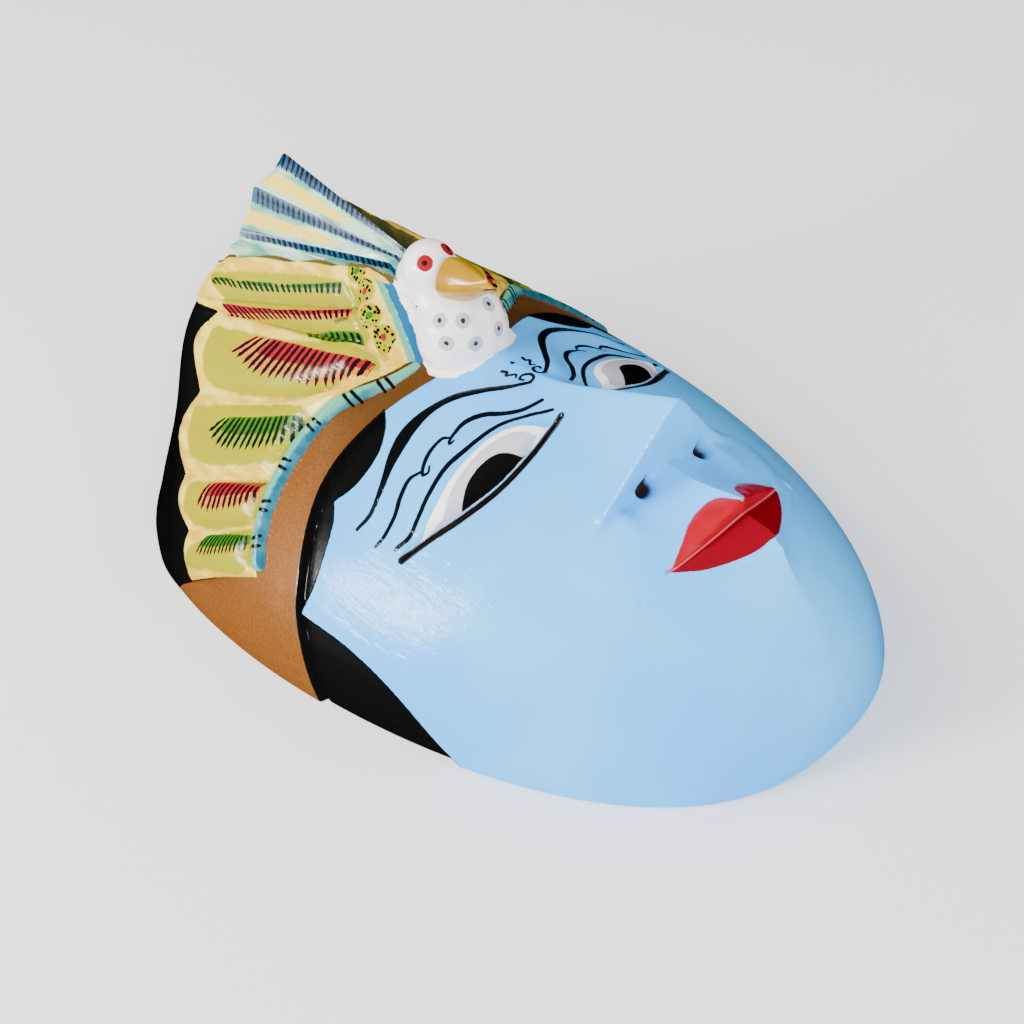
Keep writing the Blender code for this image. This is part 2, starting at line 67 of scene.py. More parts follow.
# Edges of the carved and painted areas on the +X half
BAND_LOWER = [(10.0, 3.4, 64.4), (17.0, 7.8, 61.4), (24.5, 12.1, 57.3), (32.3, 15.3, 52.2)]
BAND_LOWER += [(38.7, 17.3, 47.4), (45.3, 17.7, 41.7), (52.3, 16.1, 34.8), (58.6, 13.4, 27.4)]
BAND_LOWER += [(64.1, 10.4, 19.5), (67.3, 6.7, 13.6), (71.5, -2.0, 0.0)]
HAIR_FRONT = [
    [(64.1, 8.6, 19.3), (63.3, -9.6, 17.5), (63.2, -26.5, 12.0), (61.5, -45.0, 0.0)][::-1],
    [(45.0, 11.7, 41.8), (49.4, 8.6, 37.5), (58.5, 7.1, 27.1), (64.1, 8.6, 19.3)][::-1],
    [(24.5, 12.1, 57.3), (27.8, 8.6, 55.1), (33.0, 6.4, 51.4), (40.0, 7.8, 46.2),
     (45.0, 11.7, 41.8)][::-1],
]
HAIR_FLOOR = [(71.5, -2.0, -8.0), (69.0, -24.0, -8.0), (61.5, -45.0, -8.0)]
BEAD = [(12.8, 11.4, 64.0), (18.5, 14.6, 61.8), (25.8, 20.0, 58.2), (33.2, 26.0, 52.4)]
BEAD += [(40.0, 29.4, 46.6), (48.0, 31.0, 39.0), (54.5, 30.6, 32.2), (58.4, 29.5, 28.4)]
BEAD += [(61.6, 27.0, 24.0)]
BEAD_WIDTHS = (0.9, 2.4, 2.3)
WING_INNER = [(12.0, 13.0, 66.0), (18.9, 17.0, 62.5), (28.7, 24.0, 57.0), (38.1, 31.0, 48.4)]
WING_INNER += [(49.9, 33.2, 37.5), (59.0, 32.4, 27.4), (64.5, 27.0, 21.0)]
WING_FOOT = [(64.5, 27.0, 21.0), (67.4, 41.3, 14.6), (69.5, 53.5, 7.5)]
FEATHER_TIPS = [
    [(69.5, 53.5, 7.5), (67.6, 58.0, 13.0), (63.6, 57.5, 19.1)],
    [(63.6, 57.5, 19.1), (60.4, 65.8, 22.6), (55.4, 66.5, 28.3)],
    [(55.4, 66.5, 28.3), (49.5, 75.6, 34.5), (41.2, 71.5, 44.5)],
    [(41.2, 71.5, 44.5), (34.0, 80.8, 53.0), (27.3, 76.0, 60.9)],
    [(27.3, 76.0, 60.9), (27.5, 86.0, 60.0), (23.0, 89.5, 65.0), (18.8, 87.5, 72.0)],
]
COLLAR_EDGE = [(6.4, 26.0, 84.0), (8.5, 20.0, 76.0), (12.0, 13.0, 66.0)]
FEATHER_GROOVES = [
    [(63.6, 58.5, 19.1), (57.2, 33.5, 29.4)],
    [(55.4, 67.5, 28.3), (49.0, 34.0, 38.3)],
    [(41.2, 72.5, 44.5), (35.1, 44.9, 51.1), (25.6, 23.2, 60.3)],
    [(27.0, 77.0, 60.9), (21.5, 42.6, 66.1), (16.5, 18.7, 66.3)],
    [(26.0, 84.0, 62.5), (17.5, 46.9, 70.7), (13.4, 31.0, 74.8)],
]
ROOT_GROOVE = [(11.6, 35.5, 77.5), (15.2, 27.9, 72.8), (17.3, 21.6, 68.1), (16.8, 18.5, 65.9)]
GOLD_FOOT = [(69.5, 53.5, 7.5), (70.0, 62.0, 0.0), (70.0, 62.0, -8.0), (73.0, 30.0, -8.0)]
GOLD_FOOT += [(71.5, -2.0, -8.0)]
EYE_SLIT = [(6.0, -33.2, 65.7), (15.6, -32.7, 60.4), (24.3, -29.7, 53.7), (32.3, -24.5, 47.4)]
EYE_SLIT += [(40.2, -19.6, 43.4), (46.3, -15.0, 38.4)]
LID_CREASE = [(6.5, -33.2, 65.5), (12.9, -21.0, 62.1), (22.6, -16.0, 57.5), (33.5, -13.5, 50.1)]
LID_CREASE += [(46.0, -15.2, 38.6)]
SOCKET_LINE = [(9.0, -21.5, 64.0), (17.4, -10.9, 60.9), (31.0, -7.2, 52.3), (45.0, -6.5, 40.0)]
BROW_LINE = [(6.0, -17.5, 66.0), (15.1, -5.4, 62.2), (29.1, -0.8, 54.0), (44.0, -1.0, 42.0)]
LIP_UPPER = [(0.0, -84.6, 63.4), (0.8, -82.6, 63.9), (1.6, -79.8, 63.4), (4.0, -77.8, 61.8)]
LIP_UPPER += [(8.0, -77.2, 59.4), (12.8, -78.0, 56.0), (18.2, -78.0, 51.3)]
LIP_UPPER_FAR = [(0.0, -84.6, 63.4), (2.2, -82.0, 62.8), (5.0, -78.0, 60.6), (9.2, -75.2, 57.4)]
LIP_UPPER_FAR += [(13.0, -75.8, 54.8), (16.0, -77.2, 52.4), (18.2, -78.0, 51.3)]
LIP_LOWER = [(18.2, -78.0, 51.3), (15.7, -80.6, 51.4), (12.5, -83.8, 51.7), (7.4, -88.2, 53.4)]
LIP_LOWER += [(3.5, -91.0, 55.2), (0.0, -91.6, 56.8)]
MOUTH_LINE = [(0.0, -83.9, 59.5), (9.0, -81.4, 55.6), (18.2, -78.0, 51.3)]
MOUTH_CREASE = [(18.2, -78.0, 51.3), (24.5, -74.2, 45.3)]
NOSTRILS = [[(-5.4, -61.6, 64.2), (-7.0, -60.6, 58.6)], [(13.0, -60.6, 62.2), (11.8, -60.4, 56.6)]]

# Paint lines: centre line, then half widths at its start, middle and end
BROW_TOP = [(2.7, -19.1, 67.2), (5.5, -15.7, 66.3), (9.6, -9.6, 64.9), (13.7, -4.0, 63.0)]
BROW_TOP += [(18.2, 0.0, 60.9), (22.8, 2.8, 58.6), (27.7, 4.0, 55.6), (32.0, 3.1, 52.4)]
BROW_TOP += [(35.6, 1.3, 49.5), (39.0, 0.1, 46.7), (42.9, -0.5, 43.3), (46.6, 1.2, 39.8)]
BROW_LOW = [(46.6, 0.9, 39.8), (43.4, -1.0, 42.8), (38.1, -1.4, 47.3), (33.2, -0.8, 51.4)]
BROW_LOW += [(29.1, -0.8, 54.3), (24.4, -0.9, 57.0), (19.6, -2.1, 59.8), (15.1, -5.4, 62.2)]
BROW_LOW += [(10.7, -10.7, 64.3), (6.4, -16.6, 65.9), (2.2, -19.5, 67.4)]
EYE_WHITE = [(9.6, -31.2, 63.5), (12.4, -24.9, 62.2), (17.4, -20.5, 60.0), (23.5, -18.2, 56.9)]
EYE_WHITE += [(29.3, -17.4, 53.4), (35.0, -17.6, 48.8), (41.2, -17.6, 43.2)]
EYE_GREY = [(12.0, -30.6, 62.2), (14.4, -24.9, 61.3), (19.2, -21.2, 58.8), (24.8, -19.6, 55.8)]
EYE_GREY += [(30.1, -19.4, 52.5), (35.6, -20.6, 47.6)]
EYE_PUPIL = [(17.1, -30.6, 59.3), (19.3, -25.4, 58.3), (22.6, -23.0, 56.8), (27.1, -22.2, 53.9)]
EYE_PUPIL += [(30.9, -23.2, 50.5)]
EYE_FLOOR = [(45.0, -16.3, 39.4), (39.6, -18.6, 43.9), (31.8, -23.4, 47.9), (23.9, -28.6, 54.2)]
EYE_FLOOR += [(15.3, -31.6, 60.9), (8.0, -31.9, 64.6)]
STROKES = [
    ([(5.6, -30.0, 65.8), (9.1, -25.3, 64.2), (12.9, -21.0, 62.2), (17.2, -18.3, 60.2),
      (22.6, -16.0, 57.6), (27.8, -13.9, 54.6), (33.5, -13.5, 50.1), (38.2, -14.0, 46.1),
      (42.0, -14.2, 42.6), (45.4, -12.1, 39.7)], 0.45, 0.76, 0.6),
    ([(4.8, -25.8, 66.6), (8.1, -23.1, 64.7), (11.3, -18.9, 63.2), (14.0, -14.0, 62.2),
      (17.4, -10.9, 61.0), (20.5, -10.1, 59.5), (22.7, -10.2, 58.2), (23.1, -11.0, 57.9),
      (22.2, -11.4, 58.4)], 0.55, 0.74, 0.35),
    ([(22.2, -9.4, 58.6), (23.3, -7.8, 58.0), (26.6, -6.9, 56.0), (29.7, -7.3, 53.8),
      (31.3, -8.6, 52.3), (30.4, -9.9, 52.9), (29.3, -9.2, 53.9)], 0.35, 0.62, 0.35),
    ([(31.1, -7.6, 52.6), (33.6, -5.8, 50.9), (37.3, -6.0, 48.0), (41.2, -7.4, 44.7),
      (45.0, -7.4, 41.0), (47.1, -6.3, 38.6)], 0.4, 0.68, 0.5),
    ([(30.5, 2.4, 53.6), (34.5, 0.8, 50.5), (38.5, -0.5, 47.0), (43.1, -0.8, 43.0), (46.8, 1.1, 39.7)],
     0.6, 0.78, 0.5),
    ([(2.4, -19.4, 67.3), (5.9, -16.2, 66.1), (10.1, -10.2, 64.6), (14.4, -4.7, 62.6)], 0.5, 0.7, 0.8),
    ([(2.7, -19.3, 67.4), (1.2, -19.2, 67.6), (0.7, -17.6, 67.5), (1.8, -15.9, 67.3),
      (3.1, -16.2, 67.0), (2.9, -17.4, 67.1)], 0.5, 0.45, 0.35),
    ([(3.4, -10.2, 66.8), (3.1, -11.6, 66.9), (3.9, -12.2, 66.7), (3.1, -13.2, 66.9),
      (2.4, -14.2, 67.0), (3.2, -14.9, 66.9)], 0.5, 0.4, 0.3),
]
WHITE_GROUND = [(0.0, 27.0, 84.0), (6.4, 23.0, 79.4), (7.9, 17.9, 73.6), (9.1, 13.7, 68.2)]
WHITE_GROUND += [(11.4, 10.2, 64.6), (12.6, 6.0, 63.6), (10.6, 0.2, 64.7), (5.6, -3.4, 66.2)]
WHITE_GROUND += [(0.0, -4.4, 67.2)]
BLUE_EDGE = [(8.0, 26.0, 81.6), (9.8, 19.8, 74.6), (10.9, 15.9, 69.2), (12.3, 12.4, 64.9)]
SEAFOAM_EDGE = [(8.9, 27.5, 81.0), (10.8, 21.2, 74.3), (11.9, 17.6, 69.8), (13.4, 13.9, 64.8)]
SPOT_COLUMN = [(9.4, 34.0, 81.1), (11.6, 29.0, 78.0), (14.3, 24.8, 73.9), (14.6, 19.9, 69.0)]
YELLOW = [
    [(65.4, 52.0, 17.0), (58.6, 34.6, 28.0), (60.4, 31.0, 25.6), (64.4, 32.5, 20.3),
     (67.6, 53.0, 12.6)],
    [(56.6, 60.0, 28.4), (49.8, 36.0, 37.4), (52.3, 34.4, 35.1), (56.4, 35.4, 30.4),
     (62.0, 52.6, 22.6), (60.2, 59.4, 24.3)],
    [(44.6, 68.6, 42.0), (34.6, 33.0, 52.6), (39.8, 32.4, 47.4), (45.0, 35.4, 42.2),
     (52.0, 60.6, 34.0), (49.0, 67.9, 37.0)],
    [(30.8, 73.5, 58.0), (26.0, 44.5, 62.6), (18.6, 20.4, 65.0), (24.0, 23.6, 62.0),
     (32.6, 38.6, 54.8), (38.8, 66.0, 48.5), (35.6, 73.4, 52.6)],
    [(22.4, 84.0, 66.4), (12.6, 37.6, 78.0), (15.6, 30.4, 74.2), (18.0, 24.4, 68.6),
     (23.0, 45.1, 65.4), (25.4, 75.6, 64.1)],
]

# Rows of hatching: where the strokes start and where they end, how many there are, red (1) or
# green (0), the share of a stroke that is dark, and the share of the row where the dark begins
HATCHES = [
    ([(23.3, 85.4, 66.0), (19.8, 67.0, 70.4), (15.8, 50.0, 74.4), (12.2, 37.0, 78.2)],
     [(23.9, 82.4, 65.7), (20.9, 66.4, 68.3), (16.8, 49.4, 72.4), (13.6, 36.5, 75.7)], 24, 0.0, 0.42, 0.0),
    ([(26.2, 77.6, 63.0), (23.6, 63.7, 65.6), (19.7, 46.6, 70.1), (15.1, 31.3, 74.2)],
     [(27.4, 72.4, 61.5), (23.8, 58.9, 63.9), (20.1, 41.8, 69.1), (16.8, 29.8, 72.9)], 24, 1.0, 0.5, 0.0),
    ([(22.4, 44.0, 65.8), (20.2, 36.9, 67.3), (17.6, 25.5, 70.4)],
     [(23.2, 41.4, 65.9), (22.0, 33.3, 67.1), (19.2, 24.7, 68.8)], 8, 0.0, 1.1, 0.0),
    ([(28.5, 59.3, 61.7), (26.2, 44.5, 64.0), (24.4, 32.5, 65.5), (22.6, 24.7, 66.3), (19.5, 19.6, 65.2)],
     [(33.1, 66.2, 56.9), (34.3, 54.0, 55.4), (32.3, 43.0, 57.2), (29.8, 33.6, 58.3), (27.1, 27.1, 60.0),
      (23.1, 20.7, 62.6)], 18, 1.0, 0.52, 0.16),
    ([(44.2, 59.0, 44.6), (41.1, 47.1, 48.3), (35.8, 31.9, 52.6)],
     [(47.3, 63.0, 41.2), (49.4, 56.5, 39.3), (46.5, 44.0, 43.0), (42.6, 35.5, 46.4), (40.4, 29.9, 48.9)],
     15, 0.0, 0.55, 0.1),
    ([(55.8, 55.4, 31.4), (52.5, 45.5, 34.7), (49.1, 36.0, 37.2)],
     [(60.0, 56.8, 27.2), (60.2, 52.1, 26.8), (57.5, 42.1, 31.5), (53.4, 34.7, 34.8)], 11, 1.0, 0.5, 0.1),
    ([(63.3, 48.7, 22.2), (61.0, 39.6, 25.9), (59.1, 33.4, 27.8)],
     [(67.3, 51.2, 17.6), (66.6, 46.7, 18.6), (64.0, 36.9, 23.4), (61.2, 32.0, 25.0)], 13, 0.0, 0.6, 0.0),
]
TICKS = [(20.0, 16.2, 61.3), (27.4, 21.4, 57.8), (35.3, 27.0, 51.6), (44.1, 30.6, 43.3)]
TICKS += [(52.3, 30.9, 35.1), (58.9, 29.0, 27.6)]
SCRATCH_WIDTHS = (0.03, 0.16, 0.05)
TICK_WIDTHS = (0.4, 0.52, 0.4)
SCRATCHES = [((-17.9, -38.0, 58.9), (-14.8, -39.7, 60.6)), ((-24.5, -61.4, 50.3), (-23.0, -64.7, 50.7))]
SCRATCHES += [((-24.6, -81.4, 41.0), (-24.4, -83.0, 39.9)), ((-58.0, -20.0, 24.0), (-57.0, -22.5, 24.4))]

# The bird, and the tail's four ridges from the neck to the end, top ridge first
HEAD = (np.array([0.0, 16.0, 84.5]), np.array([6.9, 7.3, 7.1]))
BREAST = (np.array([0.0, 7.5, 69.0]), np.array([12.2, 10.7, 12.6]))
NECK = (np.array([0.0, 20.6, 77.6]), np.array([6.4, 7.4, 8.8]))
THROAT = (np.array([0.0, 13.5, 77.0]), np.array([8.0, 7.6, 7.0]))
BEAK_TIP = np.array([0.0, -8.5, 88.0])
BEAK_ROOT = np.array([0.0, 8.2, 84.2])
TAIL_NECK = np.array([[0, 26, 86.5], [1.6, 27, 84.5], [2.8, 29, 82], [3.2, 30, 76]], float)
TAIL_END = np.array([[0, 72.5, 99], [7.4, 78, 88.7], [14.4, 78, 79.4], [18.5, 78, 76.7]], float)
TAIL_VALLEY = 1.3
TAIL_INWARD = np.array([0.5, 0.0, 0.87])

# Heights and depths of the fine carving, in millimetres
HAIR_DROP = 1.5
BAND_GROOVE = 0.7
BEAD_RISE = 1.9
BEAD_HALF = 2.4
CROWN_DROP = 1.4
CREST_LIFT = 1.6
WING_DROP = 0.9
PILLOW = 1.3
LID_RISE = 1.5
SLIT_DROP = 1.6
BROW_RISE = 0.9
SOCKET_DROP = 0.8
SHELF_RISE = 0.45
MOUTH_DROP = 0.8
CREASE_DROP = 1.1
NOSTRIL_DROP = 4.0
LIP_RISE = 0.55


def unit(vectors):
    lengths = np.linalg.norm(vectors, axis=-1, keepdims=True)
    return vectors / np.maximum(lengths, 1e-9)


def ramp(low, high, value):
    share = np.clip((value - low) / (high - low), 0.0, 1.0)
    return share * share * (3.0 - 2.0 * share)


def swell(distance, width):
    """One on a line and falling away to both sides of it."""
    return np.exp(-((distance / width) ** 2))


def lesser(first, second, blend):
    share = np.clip(0.5 + 0.5 * (second - first) / blend, 0.0, 1.0)
    return second * (1.0 - share) + first * share - blend * share * (1.0 - share)


def greater(first, second, blend):
    return -lesser(-first, -second, blend)


def to_plane(directions, normal, point):
    normal = unit(np.asarray(normal, float))
    facing = directions @ normal
    reach = normal @ np.asarray(point, float)
    return np.where(facing > 0.02, reach / np.maximum(facing, 0.02), 400.0)


def plane_through(first, second, third):
    normal = unit(np.cross(second - first, third - first))
    return (normal if normal @ first > 0 else -normal), first


def falling(share, start, end):
    return np.clip(1.0 - share**start, 0.0, None) ** (1.0 / end)


def egg_level(points):
    x, y, z = np.abs(points[:, 0]), points[:, 1], points[:, 2]
    lower = y < WIDEST
    length = np.where(lower, HALF_LENGTH + WIDEST, HALF_LENGTH - WIDEST)
    share = np.abs(y - WIDEST) / length
    past = np.where(share > 1.0, 9.0, 0.0)
    share = np.minimum(share, 1.0)
    width = np.where(lower, falling(share, 1.77, 2.424), falling(share, 2.4, 3.73))
    height = np.where(lower, falling(share, 4.143, 3.634), falling(share, 4.0, 3.0))
    across = x / np.maximum(HALF_WIDTH * width, 1e-3)
    up = np.abs(z) / np.maximum(CREST * height, 1e-3)
    return past + across**1.417 + up**1.493


def egg(directions):
    near = np.zeros(len(directions))
    far = np.full(len(directions), 160.0)
    for _ in range(24):
        middle = (near + far) / 2.0
        inside_it = egg_level(directions * middle[:, None]) < 1.0
        near = np.where(inside_it, middle, near)
        far = np.where(inside_it, far, middle)
    return (near + far) / 2.0


def roof(directions):
    face = to_plane(directions, (0.752, -0.021, 0.659), RIDGE_NECK)
    breast_end = to_plane(directions, (0.557, -0.586, 0.590), (12.0, 11.0, 63.0))
    crown_slope = to_plane(directions, (0.0, 0.87, 0.5), (0.0, 98.0, 50.0))
    crown_wall = to_plane(directions, (0.0, 1.0, 0.1), (0.0, HALF_LENGTH - 2.0, 0.0))
    corner = to_plane(directions, (1.0, 0.7, 0.4), (55.0, 84.0, 12.0))
    flank = to_plane(directions, (1.0, 0.0, 0.12), (69.0, 0.0, 0.0))
    top = lesser(face, breast_end, 4.0)
    top = lesser(top, lesser(crown_slope, crown_wall, 6.0), 8.0)
    return lesser(lesser(top, corner, 8.0), flank, 6.0)


def beside_ridge(points):
    x, y = points[:, 0], points[:, 1]
    along = (y - RIDGE_NECK[1]) / (RIDGE_CROWN[1] - RIDGE_NECK[1])
    ridge = RIDGE_NECK[0] + (RIDGE_CROWN[0] - RIDGE_NECK[0]) * along
    wall = ramp(ridge - VALLEY_SLOPE, ridge, x)
    return wall + (1.0 - wall) * ramp(20.0, 8.0, y)


def nose(directions):
    side = to_plane(directions, *plane_through(NOSE_TIP, NOSE_BRIDGE, NOSE_WING))
    across = np.array([1.0, 0.0, 0.0])
    under = to_plane(directions, *plane_through(NOSE_TIP, NOSE_TIP + across, NOSE_WING))
    return lesser(side, under, 1.6)


def mouth(directions):
    philtrum = to_plane(directions, *plane_through(NOSE_BASE, LIP_DIP, MOUTH_CORNER))
    lip_front = to_plane(directions, *plane_through(LIP_DIP, MOUTH_MIDDLE, MOUTH_CORNER))
    lip_top = to_plane(directions, *plane_through(MOUTH_MIDDLE, LOWER_LIP, MOUTH_CORNER))
    shelf = to_plane(directions, *plane_through(LOWER_LIP, CHIN_SHELF, SHELF_CORNER))
    under = to_plane(directions, *plane_through(CHIN_SHELF, CHIN_FRONT, SHELF_CORNER))
    chin = to_plane(directions, (0.0, -0.95, 0.3), CHIN_FRONT)
    upper = lesser(philtrum, lip_front, 0.8)
    lower = lesser(lesser(lesser(lip_top, shelf, 0.8), under, 1.6), chin, 4.0)
    return philtrum, upper, lower


def folded(directions):
    """The same directions on the +X half."""
    halves = directions * 1.0
    halves[:, 0] = np.abs(halves[:, 0])
    return halves


def form(directions):
    halves = folded(directions)
    bowl = egg(halves)
    crest = greater(bowl, roof(halves), 3.0)
    distance = bowl + (crest - bowl) * beside_ridge(halves * crest[:, None])
    points = halves * distance[:, None]
    below_eyes = ramp(0.0, -12.0, points[:, 1])
    philtrum, upper, lower = mouth(halves)
    window = ramp(16.0, 8.0, points[:, 0]) * ramp(-54.0, -60.0, points[:, 1])
    window *= ramp(-88.0, -80.0, points[:, 1])
    distance = distance + np.minimum(philtrum - distance, 0.0) * window
    near_mouth = ramp(31.0, 20.0, points[:, 0]) * ramp(-52.0, -60.0, points[:, 1])
    near_mouth *= ramp(26.0, 46.0, points[:, 2])
    lips = greater(upper, lower, 0.5)
    distance = distance + (greater(distance, lips, 2.0) - distance) * near_mouth
    rounded = halves * 1.0
    rounded[:, 0] = np.sqrt(halves[:, 0] ** 2 + 0.009**2)
    blend = 2.4 + 3.6 * ramp(-64.0, -54.0, points[:, 1])
    return distance + (greater(distance, nose(unit(rounded)), blend) - distance) * below_eyes


def smooth_curve(points, steps=10):
    points = np.asarray(points, float)
    ends = np.vstack([2 * points[0] - points[1], points, 2 * points[-1] - points[-2]])
    share = np.linspace(0.0, 1.0, steps, endpoint=False)[:, None]
    pieces = []
    for a, b, c, d in zip(ends, ends[1:], ends[2:], ends[3:]):
        bend = 2 * a - 5 * b + 4 * c - d
        twist = -a + 3 * b - 3 * c + d
        pieces.append(0.5 * (2 * b + (c - a) * share + bend * share**2 + twist * share**3))
    return np.vstack(pieces + [points[-1:]])


def on_form(points):
    directions = unit(np.asarray(points, float))
    return directions * form(directions)[:, None]


def distance_to_curve(points, curve, widths=None, reach=9.0):
    """Distance to a line of straight pieces, less its half width there, at most the reach."""
    nearest = np.full(len(points), reach)
    rows = np.arange(len(curve), dtype=float) / max(len(curve) - 1, 1)
    low, high = curve.min(0) - reach, curve.max(0) + reach
    near = np.flatnonzero(((points > low) & (points < high)).all(1))
    spots = points[near]
    best = nearest[near]
    for k in range(len(curve) - 1):
        start, piece = curve[k], curve[k + 1] - curve[k]
        share = np.clip((spots - start) @ piece / max(piece @ piece, 1e-12), 0.0, 1.0)
        gap = np.linalg.norm(spots - start - share[:, None] * piece, axis=1)
        if widths is not None:
            gap -= np.interp(rows[k] + share * (rows[k + 1] - rows[k]), (0.0, 0.5, 1.0), widths)
        best = np.minimum(best, gap)
    nearest[near] = best
    return nearest


def unrolled(vectors):
    directions = unit(vectors)
    angle = np.arccos(np.clip(directions[:, 2], -1.0, 1.0))
    flat = directions[:, :2]
    return flat * (angle / np.maximum(np.linalg.norm(flat, axis=1), 1e-9))[:, None]


def inside(points, outline):
    spots, corners = unrolled(points), unrolled(outline)
    crossed = np.zeros(len(spots), bool)
    for a, b in zip(corners, np.roll(corners, -1, axis=0)):
        beside = (a[1] > spots[:, 1]) != (b[1] > spots[:, 1])
        rise = b[1] - a[1] if b[1] != a[1] else 1e-12
        crossed ^= beside & (spots[:, 0] < a[0] + (spots[:, 1] - a[1]) * (b[0] - a[0]) / rise)
    return crossed


def area(points, curves, steps=6):
    """Distance into the area that the curves enclose: positive inside, negative outside."""
    outline = on_form(np.vstack([smooth_curve(curve, steps) for curve in curves]))
    closed = np.vstack([outline, outline[:1]])
    side = np.where(inside(points, outline), 1.0, -1.0)
    return distance_to_curve(points, closed, reach=14.0) * side


def line(points, curve, widths=None, reach=9.0):
    return distance_to_curve(points, on_form(smooth_curve(curve, 8)), widths, reach)


def wing_outline():
    crest = [RIDGE_CROWN + [-2.6, 1.5, 0.0], RIDGE_NECK - [2.6, 0.0, 0.0]]
    return [WING_INNER, WING_FOOT, *FEATHER_TIPS, crest, COLLAR_EDGE]


def hair_outline():
    return [BAND_LOWER[2:], HAIR_FLOOR, *HAIR_FRONT]


def relief(points):
    """Height of the carving over the form, at points of the +X half."""
    hair = area(points, hair_outline())
    height = -HAIR_DROP * ramp(-0.1, 1.0, hair)
    band = line(points, BAND_LOWER)
    height -= BAND_GROOVE * swell(band - 0.5, 0.9) * ramp(-0.2, 0.6, hair)
    bead = np.clip(line(points, BEAD, BEAD_WIDTHS) + BEAD_HALF, 0.0, BEAD_HALF)
    height += BEAD_RISE * np.sqrt(np.clip(1.0 - (bead / BEAD_HALF) ** 2, 0.0, 1.0))
    wing = area(points, wing_outline())
    grooves = np.min([line(points, curve) for curve in FEATHER_GROOVES], axis=0)
    edge = np.minimum(grooves, np.maximum(wing, 0.0))
    pillow = PILLOW * ramp(0.0, 5.0, edge)
    cut = 1.1 * swell(grooves, 0.8) + 0.5 * swell(grooves, 2.0)
    root = line(points, ROOT_GROOVE)
    cut += 0.7 * swell(root, 0.8)
    crown = ramp(0.1, -1.0, wing) * ramp(30.0, 50.0, points[:, 1]) * ramp(0.0, 12.0, points[:, 2])
    height -= CROWN_DROP * crown * beside_ridge(points)
    crest_line = np.array([RIDGE_CROWN, RIDGE_NECK])
    lift = CREST_LIFT * ramp(4.0, 30.0, distance_to_curve(points, crest_line, reach=60.0))
    height += ramp(-0.1, 1.0, wing) * (lift - WING_DROP + pillow - cut)
    eye = area(points, [EYE_SLIT, LID_CREASE[::-1]])
    slit = line(points, EYE_SLIT)
    lid = LID_RISE * ramp(0.0, 6.0, eye) - SLIT_DROP * swell(slit, 2.2)
    height += ramp(-1.0, 1.0, eye) * lid
    fade = ramp(47.0, 34.0, points[:, 0])
    height += BROW_RISE * fade * swell(line(points, BROW_LINE), 3.2)
    height -= SOCKET_DROP * fade * swell(line(points, SOCKET_LINE), 2.8)
    height += SHELF_RISE * swell(line(points, SHELF_EDGE), 0.9)
    height -= MOUTH_DROP * swell(line(points, MOUTH_LINE), 0.6)
    height -= CREASE_DROP * swell(line(points, MOUTH_CREASE), 1.1)
    return height


def nostril_distance(points):
    """Distance to the two gouged nostrils, at points of either half."""
    return np.min([line(points, curve, (-0.3, 0.7, 1.8)) for curve in NOSTRILS], axis=0)


def whole(curve):
    """A curve of the +X half that starts on the middle line, with its mirrored twin before it."""
    return [tuple(point) for point in (np.array(curve) * MIRROR)[::-1]][:-1] + list(curve)


def lips_inside(points, upper_near, upper_far):
    near = [tuple(point) for point in (np.array(upper_near) * MIRROR)[::-1]]
    return area(points, [near, upper_far, whole(LIP_LOWER[::-1])[::-1]])


def gouge(points):
    """How far the nostrils are sunk and the lips raised, which differs between the halves."""
    lips = lips_inside(points, LIP_UPPER, LIP_UPPER_FAR)
    sunk = NOSTRIL_DROP * ramp(1.0, -0.9, nostril_distance(points))
    return sunk - LIP_RISE * ramp(-0.2, 0.5, lips)


def front(directions):
    halves = folded(directions)
    distance = form(halves)
    return distance + relief(halves * distance[:, None])


def hollow(directions):
    turn = np.arccos(np.clip(directions @ unit(RECESS), -1.0, 1.0))
    return egg(directions) - WALL + 8.0 * swell(turn, 0.13)


def detail_distance(points):
    """Distance to the nearest edge or line that needs a fine mesh."""
    lines = [BAND_LOWER, *HAIR_FRONT, WING_INNER, WING_FOOT, *FEATHER_TIPS, *FEATHER_GROOVES]
    lines += [GOLD_FOOT[:2], ROOT_GROOVE, EYE_SLIT, BROW_TOP, BROW_LOW]
    lines += [EYE_WHITE, EYE_GREY, EYE_PUPIL, EYE_FLOOR]
    lines += [LIP_UPPER, LIP_UPPER_FAR, LIP_LOWER, MOUTH_LINE, SHELF_EDGE]
    lines += [WHITE_GROUND, BLUE_EDGE, SEAFOAM_EDGE]
    lines += [stroke[0] for stroke in STROKES]
    near = np.min([line(points, curve) for curve in lines], axis=0)
    near = np.minimum(near, np.abs(line(points, BEAD, BEAD_WIDTHS)))
    near = np.minimum(near, tick_distance(points))
    near = np.minimum(near, nostril_distance(points) - 1.0)
    near = np.minimum(near, nostril_distance(points * MIRROR) - 1.0)
    near = np.minimum(near, line(points, SPOT_COLUMN) - 2.4)
    nose_edges = [[NOSE_TIP, NOSE_WING], [NOSE_TIP, NOSE_BRIDGE], [(0, -94, 56), (24, -75.5, 45)]]
    return np.minimum(near, np.min([line(points, curve) for curve in nose_edges], axis=0) - 0.7)


def brush_distance(points):
    """Distance to the nearest thin black brush line, which needs the finest mesh."""
    thin = [stroke[0] for stroke in STROKES if stroke[3] < 0.4] + [MOUTH_LINE]
    near = np.min([line(points, curve) for curve in thin], axis=0)
    return np.minimum(near, tick_distance(points))


